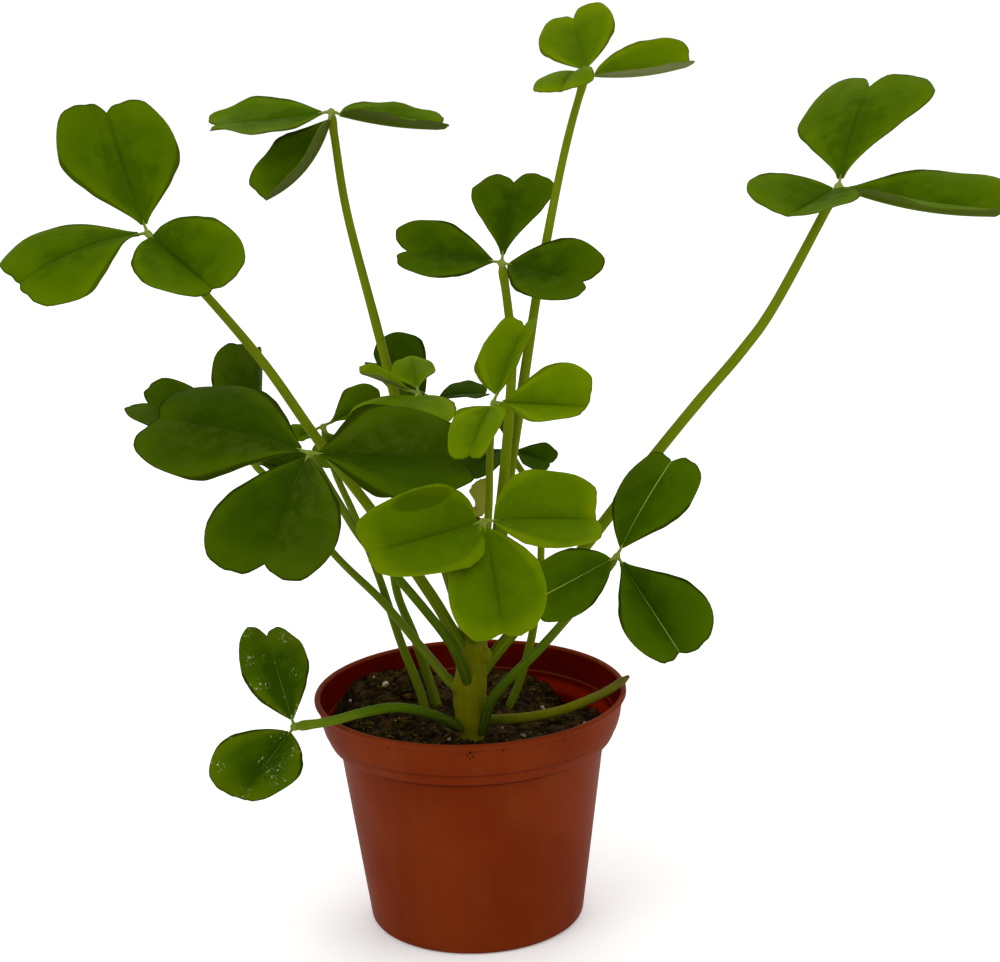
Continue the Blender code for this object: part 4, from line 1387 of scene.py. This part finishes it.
@dataclass
class Leaf:
    """A stalk with its clover-like leaf."""

    name: str
    hub: Point  # where the leaflets meet
    faces: tuple[float, float]  # heading and rise of the way its upper side looks
    leaflets: tuple[Leaflet, ...]
    route: tuple[Point, ...]  # points of its stalk, from its root, without the hub
    radii: tuple[float, float]  # of the stalk, at its root and at the hub
    tone: LeafTone = LeafTone.OPEN
    stalk_skin: StemSkin = STALK_SKIN
    rows: int = 26
    columns: int = 30
    lobe: float = 0.48  # place of each lobe's tip, as a share of the half width
    root_width: float = 0.05
    hub_radius: float = 1.15
    riblet: float = 3.0  # bare rib between the hub's middle and the blade
    rib_thickness: float = 0.95
    blade_thickness: float = 0.3
    groove: float = 0.35  # depth of the upper side's fold along the midrib
    ring_spacing: float = 1.8
    stalk_sides: int = 14

    def arc_reach(self, length: float, start: float, bend: float) -> tuple[float, float]:
        """Works out how far an arc reaches.

        Args:
            length: Its length.
            start: The angle that it sets off at, in radians.
            bend: The angle that it turns by, in radians.

        Returns:
            Its run and its rise.
        """
        if abs(bend) < 0.001:
            return polar(length, start)
        radius = length / bend
        run = radius * (math.sin(start + bend) - math.sin(start))
        return run, radius * (math.cos(start) - math.cos(start + bend))

    def heart(self, leaflet: Leaflet, s: float, v: float, phase: Sequence[float]) -> tuple[float, float]:
        """Draws a blade's flat outline.

        Args:
            leaflet: The blade.
            s: Share of the way from its foot to its end.
            v: From -1 at its right edge to 1 at its left edge.
            phase: Seeded numbers that make its edge uneven.

        Returns:
            Shares of its length and of its half width.
        """
        off = abs(v)
        if off > self.lobe:
            fall = ((off - self.lobe) / (1 - self.lobe)) ** 2
            shoulder = leaflet.shoulder - math.copysign(leaflet.lean / 2, v)
            reach = shoulder + (1 - shoulder) * max(0.0, 1 - fall) ** leaflet.corner
        else:
            reach = 1 - leaflet.notch * (1 - off / self.lobe) ** leaflet.slit
        spread = self.root_width + (1 - self.root_width) * math.sin(math.pi / 2 * s) ** leaflet.taper
        side = 2 if v > 0 else 3
        uneven = math.sin(TURN * 1.7 * s + phase[side]) + 0.5 * math.sin(TURN * 4.1 * s + phase[0])
        end = math.sin(TURN * 1.3 * v + phase[1]) + 0.5 * math.sin(TURN * 3.3 * v + phase[2])
        width = v * spread * (1 + 0.016 * uneven * off**4 * math.sin(math.pi * s))
        return s * reach * (1 + 0.009 * end * s**5), width

    def midrib_frame(self, leaflet: Leaflet) -> tuple[Vector, Vector, Vector, Vector]:
        """Works out how a blade sits on the leaf.

        Args:
            leaflet: The blade.

        Returns:
            Where it starts, the way its midrib sets off, its upper side's normal and its left.
        """
        heading, rise = (math.radians(angle) for angle in self.faces)
        turn, lift, droop = (math.radians(angle) for angle in (leaflet.turn, leaflet.lift, leaflet.droop))
        ahead, aside = polar(1, heading)
        normal = Vector((math.cos(rise) * ahead, math.cos(rise) * aside, math.sin(rise)))
        first = Vector((-aside, ahead, 0))
        flat = first * math.cos(turn) + normal.cross(first) * math.sin(turn)
        chord = flat * math.cos(lift) + normal * math.sin(lift)
        across = Matrix.Rotation(math.radians(leaflet.roll), 3, chord) @ normal.cross(flat)
        upper = chord.cross(across)
        way = chord * math.cos(droop / 2) + upper * math.sin(droop / 2)
        above = upper * math.cos(droop / 2) - chord * math.sin(droop / 2)
        return Vector(self.hub) + way * self.riblet, way, above, across

    def blade_point(self, leaflet: Leaflet, s: float, v: float, phase: Sequence[float]) -> Vector:
        """Sets a point of a blade: the heart folded along its midrib, drooping, curling and rippled.

        Args:
            leaflet: The blade.
            s: Share of the way from its foot to its end.
            v: From -1 at its right edge to 1 at its left edge.
            phase: Seeded numbers that make it uneven.

        Returns:
            The point, on the blade's upper side.
        """
        start, way, above, across = self.midrib_frame(leaflet)
        along, aside = self.heart(leaflet, s, v, phase)
        length = leaflet.length - self.riblet
        bend = -math.radians(leaflet.droop) * along
        run, rise = self.arc_reach(length * along, 0, bend)
        ahead = way * math.cos(bend) + above * math.sin(bend)
        left = Matrix.Rotation(math.radians(leaflet.twist) * along, 3, ahead) @ across
        up = ahead.cross(left)
        curl = math.radians(leaflet.curl) * abs(aside)
        out, over = self.arc_reach(abs(aside) * leaflet.width / 2, math.radians(leaflet.fold), curl)
        side = 4 if v > 0 else 5
        ripple = abs(aside) ** 3 * along * math.sin(TURN * 2.2 * along + phase[side])
        ripple += 0.5 * along**4 * math.sin(TURN * 1.1 * aside + phase[1])
        dent = -self.groove * math.exp(-((v / 0.07) ** 2)) * math.sin(math.pi * min(1.0, s * 1.05))
        lift = over + leaflet.wave * ripple + dent
        return start + way * run + above * rise + left * math.copysign(out, aside) + up * lift

    def blade(self, leaflet: Leaflet, dice: random.Random) -> Piece:
        """Makes one leaflet: a grid laid over the heart, with a wall that is thicker under the midrib.

        Args:
            leaflet: Its sizes.
            dice: Where its uneven numbers come from.

        Returns:
            The leaflet.
        """
        phase = [dice.uniform(0, TURN) for _ in range(6)]
        clear_selection()
        bpy.ops.mesh.primitive_grid_add(x_subdivisions=self.rows, y_subdivisions=self.columns, size=2)
        blade = bpy.context.object
        rib = blade.vertex_groups.new(name="midrib")
        shares = []
        for vertex in blade.data.vertices:
            s = ((vertex.co.x + 1) / 2) ** 0.85
            v = math.copysign(math.sin(abs(vertex.co.y) ** 1.35 * math.pi / 2), vertex.co.y)
            shares.append((s, (v + 1) / 2))
            vertex.co = self.blade_point(leaflet, s, v, phase) * MM
            rib.add([vertex.index], math.exp(-((v / 0.06) ** 2)) * (1 - 0.8 * s), "REPLACE")
        set_uv(blade, shares)
        skin = self.tone.value
        for material in (skin.upper(), skin.lower(), skin.border(), HUB_SKIN.material()):
            blade.data.materials.append(material)
        wall = blade.modifiers.new("Wall", "SOLIDIFY")
        wall.thickness = self.rib_thickness * MM
        wall.offset = -1
        wall.vertex_group = rib.name
        wall.thickness_vertex_group = self.blade_thickness / self.rib_thickness
        wall.material_offset = 1
        wall.material_offset_rim = 2
        apply_modifiers(blade)
        blade.vertex_groups.clear()
        return blade

    def joint(self) -> Piece:
        """Makes the pale joint on top of the stalk, with a short rib out to each blade.

        Returns:
            The joint.
        """
        hub = Vector(self.hub)
        down = (Vector(self.route[-1]) - hub).normalized()
        size = max(self.hub_radius, 0.96 * self.radii[1])
        lumps = [ball(hub + down * 0.4, (size, size, size * 1.3), down)]
        for leaflet in self.leaflets:
            start, way, above, _ = self.midrib_frame(leaflet)
            points = [hub, hub.lerp(start, 0.5), start - above * 0.2, start + way * 4 - above * 0.6]
            route = smooth_route(points, 12)
            lumps.append(stem(route, [0.68 - 0.04 * at for at in range(len(route))], 10))
        joint = join(lumps)
        melt(joint, voxel=0.24, rounds=1)
        coat(joint, HUB_SKIN.material())
        return joint

    def stalk(self) -> Piece:
        """Makes the stalk, which flares where it leaves the trunk and swells a little below the leaf.

        Returns:
            The stalk.
        """
        hub = Vector(self.hub)
        points = [*self.route, hub - (hub - Vector(self.route[-1])).normalized() * 0.8]
        coarse = smooth_route(points, 40)
        length = sum((there - here).length for here, there in zip(coarse, coarse[1:]))
        route = smooth_route(points, round(length / self.ring_spacing))
        radii = []
        for at, point in enumerate(route):
            share = at / (len(route) - 1)
            left = (1 - share) * length
            radius = self.radii[0] + (self.radii[1] - self.radii[0]) * share
            flare = 0.15 * math.exp(-share * length / 4.0)
            swelling = 0.18 * math.exp(-((left - 2.5) / 3.0) ** 2)
            uneven = 0.04 * noise.noise(point * 0.08)
            tapering = 0.35 * math.exp(-((left / 1.3) ** 2))
            radii.append(radius * (1 + flare + swelling + uneven - tapering))
        stalk = stem(route, radii, self.stalk_sides)
        coat(stalk, self.stalk_skin.material(), sharp=60)
        return stalk

    def build(self) -> None:
        """Builds the stalk and the leaf."""
        dice = random.Random(self.name)
        finish_piece(self.stalk(), f"{self.name}_leaf_stalk", "stalk", f"stalk_{self.name}")
        leaf = join([*(self.blade(leaflet, dice) for leaflet in self.leaflets), self.joint()])
        smooth(leaf, angle=48)
        finish_piece(leaf, f"{self.name}_leaflets", "leaf", f"leaf_{self.name}")


LEAVES = (
    Leaf(
        "left_high", hub=(-95, -20, 241), faces=(-95, 38), radii=(2.0, 1.3),
        route=(
            (-1, -17.6, 99.5), (-5.6, -19, 109), (-12, -20, 121.3), (-28, -22, 148), (-45, -24, 174),
            (-60.5, -24, 199), (-78, -22, 221.5),
        ),
        leaflets=(
            Leaflet(110, 18, 44, 44, roll=28, fold=8, curl=-16, droop=-4, twist=14, shoulder=0.61,
                    taper=1.25, notch=0.09),
            Leaflet(-145, 15, 46, 40, roll=21, fold=14, curl=-42, droop=42, shoulder=0.67, taper=1.7,
                    notch=0.03),
            Leaflet(-47, 20, 43.5, 35, roll=2, fold=34, curl=-19, droop=8, twist=-16, shoulder=0.63,
                    taper=0.68, notch=0.1),
        ),
    ),
    Leaf(
        "left_top", hub=(-39, 25, 272), faces=(-95, 80), radii=(2.0, 1.3),
        route=(
            (-0.2, -13.9, 104.5), (-6, -4, 122), (-11.2, 2, 137.5), (-16.8, 10, 159.5),
            (-21.5, 14, 177.5), (-27, 18, 202), (-35.2, 23, 238.5), (-38.4, 27, 263),
        ),
        leaflets=(
            Leaflet(-166, -2, 40, 34, roll=-15, fold=5, curl=1, droop=3, twist=20, taper=1.1, wave=1.0),
            Leaflet(-123, -28, 42, 27.5, roll=24, fold=40, curl=2, droop=-44, twist=-20, shoulder=0.38,
                    taper=0.95, notch=0.02),
            Leaflet(13, -14, 38, 27, roll=-10, fold=35, curl=-28, droop=-9, twist=9, shoulder=0.42,
                    taper=0.72, wave=1.2),
        ),
    ),
    Leaf(
        "right_top", hub=(44, 20, 282), faces=(-80, 78), radii=(2.2, 1.2), tone=LeafTone.LIGHT,
        route=(
            (2.6, -14.6, 98.5), (10.5, -2, 125.5), (15, 4, 151.5), (20.5, 10, 180.5), (26.5, 14, 213),
            (33.5, 17, 245), (38.5, 19, 264.5),
        ),
        leaflets=(
            Leaflet(86, 18, 35.5, 26.5, roll=-17, fold=7, curl=-14, droop=3, twist=-10, taper=0.87,
                    notch=0.13),
            Leaflet(-4, 4, 35.5, 30, roll=3, fold=31, curl=-8, droop=-17, twist=-3, shoulder=0.66,
                    taper=0.76),
            Leaflet(-120, 0, 26.5, 21, roll=18, fold=25, curl=-45, droop=50, twist=-5, shoulder=0.77,
                    taper=1.57, notch=0.04),
        ),
    ),
    Leaf(
        "right_high", hub=(123, 0, 246), faces=(-80, 82), radii=(2.2, 1.5),
        route=(
            (3.2, -18.2, 91.5), (7.6, -16, 96.6), (13.2, -14, 102.6), (24.5, -10, 114), (39.5, -8, 131.5),
            (51, -6, 145.5), (63, -4, 160.5), (78, -2, 178), (92, 0, 193.5), (103, 0, 209),
        ),
        leaflets=(
            Leaflet(58, 27, 56, 44.5, roll=-14, fold=-3, curl=-12, droop=30, twist=3, shoulder=0.69,
                    taper=1.4, notch=0.19, corner=0.9, lean=0.24),
            Leaflet(-136, -3, 36, 38, roll=-2, fold=24, droop=2, taper=0.7),
            Leaflet(-29, -5, 54, 46, roll=-1, fold=40, curl=-42, droop=-19, twist=2, shoulder=0.59,
                    taper=1.2),
        ),
    ),
    Leaf(
        "middle_high", hub=(15, 10, 223), faces=(-90, 55), radii=(2.0, 1.4), tone=LeafTone.DEEP,
        route=(
            (4.7, -12.1, 116), (8.5, -8, 124), (13, -2, 150), (16, 4, 175), (17.5, 8, 194.5),
            (16.5, 10, 209),
        ),
        leaflets=(
            Leaflet(81, 8, 37, 28.5, roll=-9, fold=1, curl=-11, droop=22, shoulder=0.84, taper=1.4,
                    notch=0.11, corner=0.8),
            Leaflet(181, 12, 35, 29, curl=-9, twist=7, taper=1.1, notch=0.13),
            Leaflet(-37, 16, 37, 28.5, roll=5, fold=14, curl=-5, droop=11, shoulder=0.55, taper=0.95,
                    notch=0.11),
        ),
    ),
    Leaf(
        "middle_bright", hub=(11, -35, 187), faces=(-70, 50), radii=(1.5, 1.1), tone=LeafTone.FRESH,
        route=((2.6, -15.9, 107.5), (5, -30, 125), (7, -41, 141), (8.5, -42, 156), (9.5, -38, 174)),
        leaflets=(
            Leaflet(55, 10, 32.5, 20, roll=-44, fold=21, curl=14, droop=12, twist=5, shoulder=0.3,
                    taper=0.91, notch=0.09),
            Leaflet(-38, 29, 32.5, 28, roll=2, fold=36, curl=-23, droop=6, shoulder=0.58, taper=1.45,
                    notch=0.03),
            Leaflet(-124, 10, 31, 18, roll=30, fold=22, curl=-14, droop=27, shoulder=0.25, taper=1.07),
        ),
    ),
    Leaf(
        "front_bright", hub=(7, -85, 163), faces=(-80, 45), radii=(1.7, 1.3), tone=LeafTone.GLOWING,
        route=((1.7, -17.4, 103), (3, -39, 119), (6, -58, 133), (8, -73, 147)),
        leaflets=(
            Leaflet(-5, 0, 34, 35, roll=-19, fold=26, curl=-25, droop=14, twist=3, shoulder=0.42,
                    taper=0.63, notch=0.02),
            Leaflet(-91, 6, 42, 30.5, roll=1, fold=22, curl=5, droop=22, twist=12, shoulder=0.69,
                    taper=0.96, notch=0.05),
            Leaflet(203, 20, 45, 29, roll=-22, fold=24, curl=3, droop=17, twist=14, shoulder=0.4,
                    taper=0.53, notch=0.06),
        ),
    ),
    Leaf(
        "left_dark", hub=(-45, -60, 179), faces=(-80, 45), radii=(1.7, 1.2), tone=LeafTone.SHADED,
        stalk_skin=DARK_STALK_SKIN,
        route=(
            (0.2, -21.5, 88), (-2.2, -25, 97.5), (-5.6, -28, 106.6), (-11.5, -32, 116.9),
            (-21.2, -39, 132.5), (-31, -46, 147), (-38, -52, 162),
        ),
        leaflets=(
            Leaflet(152, -14, 53, 46, roll=12, fold=8, curl=-30, droop=24, twist=4, shoulder=0.55,
                    taper=1.2, notch=0.03),
            Leaflet(-113, 10, 51.5, 40, roll=14, fold=11, curl=-9, droop=24, twist=-3, shoulder=0.7,
                    taper=1, notch=0.1),
            Leaflet(-4, -7, 49, 39, roll=-9, fold=17, curl=-17, droop=2, twist=-6, shoulder=0.39,
                    taper=1.29, notch=0.05),
        ),
    ),
    Leaf(
        "right_dark", hub=(48, -45, 139), faces=(-70, 35), radii=(1.7, 1.25), tone=LeafTone.RIBBED,
        stalk_skin=DARK_STALK_SKIN,
        route=(
            (3.4, -22.3, 73.2), (5, -24, 78.6), (6.5, -25.2, 84), (8.8, -26.4, 88), (13.4, -28, 93.7),
            (24, -34, 106.3), (37, -42, 124),
        ),
        leaflets=(
            Leaflet(47, 3, 40.5, 27.5, roll=-38, fold=2, curl=-28, droop=20, taper=1),
            Leaflet(-160, 8, 36, 20.5, roll=-18, droop=14, taper=0.8),
            Leaflet(-79, 17, 42, 33, roll=11, fold=38, curl=-9, droop=4, shoulder=0.7, taper=1.3),
        ),
    ),
    Leaf(
        "back_left", hub=(-74, 45, 150), faces=(-60, 50), radii=(1.6, 1.1), tone=LeafTone.SHADED,
        stalk_skin=GREEN_STALK_SKIN,
        route=(
            (-2.4, -18, 87.4), (-5.8, -17.4, 88.6), (-11.8, -10, 93.8), (-19, 0, 99.8), (-29.5, 12, 109),
            (-44.5, 24, 121), (-60.5, 38, 137.5),
        ),
        leaflets=(
            Leaflet(76, 36, 41, 38, roll=48, fold=-5, curl=-45, droop=11, twist=-4, shoulder=0.69,
                    taper=1.03, notch=0.06),
            Leaflet(130, -3, 46, 31, roll=8, fold=12, curl=-3, droop=25, twist=2, shoulder=0.78,
                    taper=1.65, notch=0.11),
            Leaflet(-20, -10, 22, 20, fold=20),
        ),
    ),
    Leaf(
        "low_left", hub=(-57, -30, 80), faces=(-70, 45), radii=(1.7, 1.5), tone=LeafTone.SPLASHED,
        stalk_skin=DARK_STALK_SKIN,
        route=((-3.5, -23, 75.5), (-13, -30, 83), (-23, -34, 87), (-33.5, -36, 86.5), (-45, -34, 83)),
        leaflets=(
            Leaflet(88, -14, 43, 23, roll=-20, fold=2, curl=-13, droop=19, twist=25, shoulder=0.58,
                    taper=0.96, notch=0.08, slit=5.0, wave=1.0, lean=-0.1),
            Leaflet(224, 4, 33.5, 32, roll=12, fold=28, curl=-19, droop=10, twist=17, shoulder=0.62,
                    taper=0.93, notch=0.02),
        ),
    ),
    Leaf(
        "middle_small", hub=(-13.2, -8, 184.4), faces=(-85, 62), radii=(1.6, 1.1), tone=LeafTone.FRESH,
        route=((-0.1, -13.6, 111.5), (-4, -13.4, 118), (-7.5, -11, 136), (-10.6, -9, 160)),
        leaflets=(
            Leaflet(91, -13, 26, 16, roll=-12, fold=0, curl=-40, droop=19, twist=12, shoulder=0.67,
                    taper=1.35, notch=0.02),
            Leaflet(170, 20, 20.5, 12, roll=21, fold=23, curl=3, droop=13, twist=6, shoulder=0.64,
                    taper=1.7),
            Leaflet(-109, 15, 30, 35, roll=10, fold=10, curl=-16, droop=20, shoulder=0.61, taper=0.57),
        ),
    ),
    Leaf(
        "back_right", hub=(15, 45, 152), faces=(-80, 60), radii=(1.6, 1.1), tone=LeafTone.DARKEST,
        route=(
            (12, 13, 62), (13, 14, 68), (17, 18, 76.5), (22, 24, 92.5), (25.5, 34, 114.5),
            (24.5, 42, 134),
        ),
        leaflets=(
            Leaflet(80, -5, 22.5, 10, roll=8, fold=15, curl=-8),
            Leaflet(-136, 11, 26.5, 14, roll=6, fold=9, droop=31, notch=0.12),
            Leaflet(-40, 4, 18, 14, fold=16),
        ),
    ),
    Leaf(
        "back_middle", hub=(-11, 55, 168), faces=(-95, 62), radii=(1.7, 1.1), tone=LeafTone.DARKEST,
        stalk_skin=GREEN_STALK_SKIN,
        route=(
            (-10, 9, 62), (-12, 10.5, 72), (-18.5, 20, 91.5), (-25, 30, 108), (-25.5, 40, 129),
            (-20.5, 50, 151),
        ),
        leaflets=(
            Leaflet(166, 32, 26, 37, fold=17, curl=3, droop=21, twist=17, shoulder=0.56, taper=1,
                    notch=0.14),
            Leaflet(11, -6, 20, 20, roll=-23, fold=24, curl=-25, droop=15, taper=0.94, notch=0.04),
            Leaflet(-120, 0, 26, 22, fold=14),
        ),
    ),
    Leaf(
        "back_small", hub=(-48, 40, 163), faces=(-80, 62), radii=(1.6, 1.1), stalk_skin=GREEN_STALK_SKIN,
        route=(
            (-15, 3, 63), (-16.5, 4.5, 76), (-23.5, 12, 94.5), (-30.5, 20, 116), (-38, 28, 134.5),
            (-44.5, 35, 148.5),
        ),
        leaflets=(
            Leaflet(22, 6, 24, 18, fold=22),
            Leaflet(205, -6, 11.5, 12, roll=13, fold=19, droop=19, notch=0.1),
            Leaflet(-80, -6, 20, 16, fold=14),
        ),
    ),
)


@dataclass
class GrowingTip:
    """The folded young leaves on top of the trunk."""

    foot: Point = (4.3, -6.2, 142.4)
    lump: tuple[float, Point] = (1.4, (2.4, 2.4, 1.8))  # height over the foot, and half sizes
    buds: tuple[tuple[Point, Point, Point, float], ...] = (  # lower end, middle, upper end and radius
        ((5.2, -6.2, 142.6), (7.2, -6.8, 149.0), (7.6, -7.4, 155.2), 1.7),
        ((5.0, -6.2, 142.6), (6.6, -6.8, 149.0), (6.1, -7.4, 155.0), 1.7),
        ((4.9, -6.2, 142.6), (6.1, -6.8, 149.0), (4.7, -7.4, 154.3), 1.7),
        ((4.8, -6.2, 142.6), (5.6, -6.8, 148.4), (3.4, -7.4, 153.2), 1.7),
        ((4.7, -6.2, 142.6), (5.2, -6.8, 147.8), (2.4, -7.4, 151.6), 1.6),
    )
    rings: int = 16
    sides: int = 12

    def build(self) -> None:
        """Builds the buds, melted together at their foot."""
        height, sizes = self.lump
        lumps = [ball(Vector(self.foot) + height * UP, sizes)]
        shares = [math.sin(math.pi * (0.22 + 0.62 * at / self.rings)) for at in range(self.rings + 1)]
        for *points, radius in self.buds:
            radii = [radius * share for share in shares]
            lumps.append(stem(smooth_route(points, self.rings), radii, self.sides))
        tip = join(lumps)
        melt(tip, voxel=0.35, rounds=4)
        coat(tip, YOUNG_SKIN.material(), sharp=70)
        finish_piece(tip, "young_leaf_buds", "young_growth", "growing_tip")


@dataclass
class Studio:
    """The pale floor, the soft light and the camera."""

    aim: Point = (12.2, 0, 152.3)
    distance: float = 789.0
    elevation: float = 15.0
    roll: float = -1.8
    lens: float = 86.4
    floor_size: float = 24.0
    white: tuple[float, float, float, float] = (1.0, 1.0, 1.0, 1.0)
    lit: Point = (0, 0, 0.12)  # the place in metres that each soft box looks at
    lamps: tuple[tuple[Point, float, float], ...] = (  # place in metres, size and power of each soft box
        ((-0.9, -0.9, 1.5), 1.0, 9.0),
        ((1.3, -0.5, 0.9), 1.0, 3.2),
        ((0.2, 1.2, 1.3), 1.2, 6.0),
    )

    def place_camera(self) -> None:
        """Sets the camera where the photograph was taken from."""
        rise, roll = math.radians(self.elevation), math.radians(self.roll)
        back = Vector((0, -math.cos(rise), math.sin(rise)))
        right = Vector((1, 0, 0))
        up = back.cross(right)
        tilted = right * math.cos(roll) + up * math.sin(roll)
        top = up * math.cos(roll) - right * math.sin(roll)
        bpy.ops.object.camera_add()
        camera = bpy.context.object
        turn = Matrix((tilted, top, back)).transposed().to_4x4()
        camera.matrix_world = Matrix.Translation((Vector(self.aim) + back * self.distance) * MM) @ turn
        camera.data.lens = self.lens
        camera.data.sensor_width = 36
        bpy.context.scene.camera = camera

    def lay_floor(self) -> None:
        """Lays the plain pale floor."""
        clear_selection()
        bpy.ops.mesh.primitive_plane_add(size=self.floor_size)
        floor = bpy.context.object
        floor.name = "pale_floor"
        bench = NodeBench("pale floor")
        bench.paint(bench.mix(bench.noise(bench.place(), 0.004), (246, 246, 245), (249, 249, 248)))
        bench.gloss(0.9, 0.0)
        bench.shader.inputs["Emission Color"].default_value = self.white
        bench.shader.inputs["Emission Strength"].default_value = 0.1
        coat(floor, bench.material)

    def light(self) -> None:
        """Lights the plant softly from all round, and a little more from above."""
        scene = bpy.context.scene
        scene.view_settings.view_transform = "Standard"
        world = bpy.data.worlds.new("soft sky")
        world.use_nodes = True
        scene.world = world
        background = world.node_tree.nodes["Background"]
        background.inputs["Color"].default_value = self.white
        background.inputs["Strength"].default_value = 1.0
        for place, size, power in self.lamps:
            way = Vector(self.lit) - Vector(place)
            turn = way.to_track_quat("-Z", "Y").to_euler()
            bpy.ops.object.light_add(type="AREA", location=place, rotation=turn)
            lamp = bpy.context.object
            lamp.data.size = size
            lamp.data.energy = power

    def build(self) -> None:
        """Builds the studio."""
        self.place_camera()
        self.lay_floor()
        self.light()
        log.info("studio: camera, floor and %d lamps", len(self.lamps))


def main() -> None:
    """Builds the studio, then the pot, the soil and the plant."""
    logging.basicConfig(level=logging.INFO, format="%(name)s: %(message)s")
    Studio().build()
    Pot().build()
    Soil().build()
    Trunk().build()
    Stub().build()
    GrowingTip().build()
    for leaf in LEAVES:
        leaf.build()


if __name__ == "__main__":
    main()
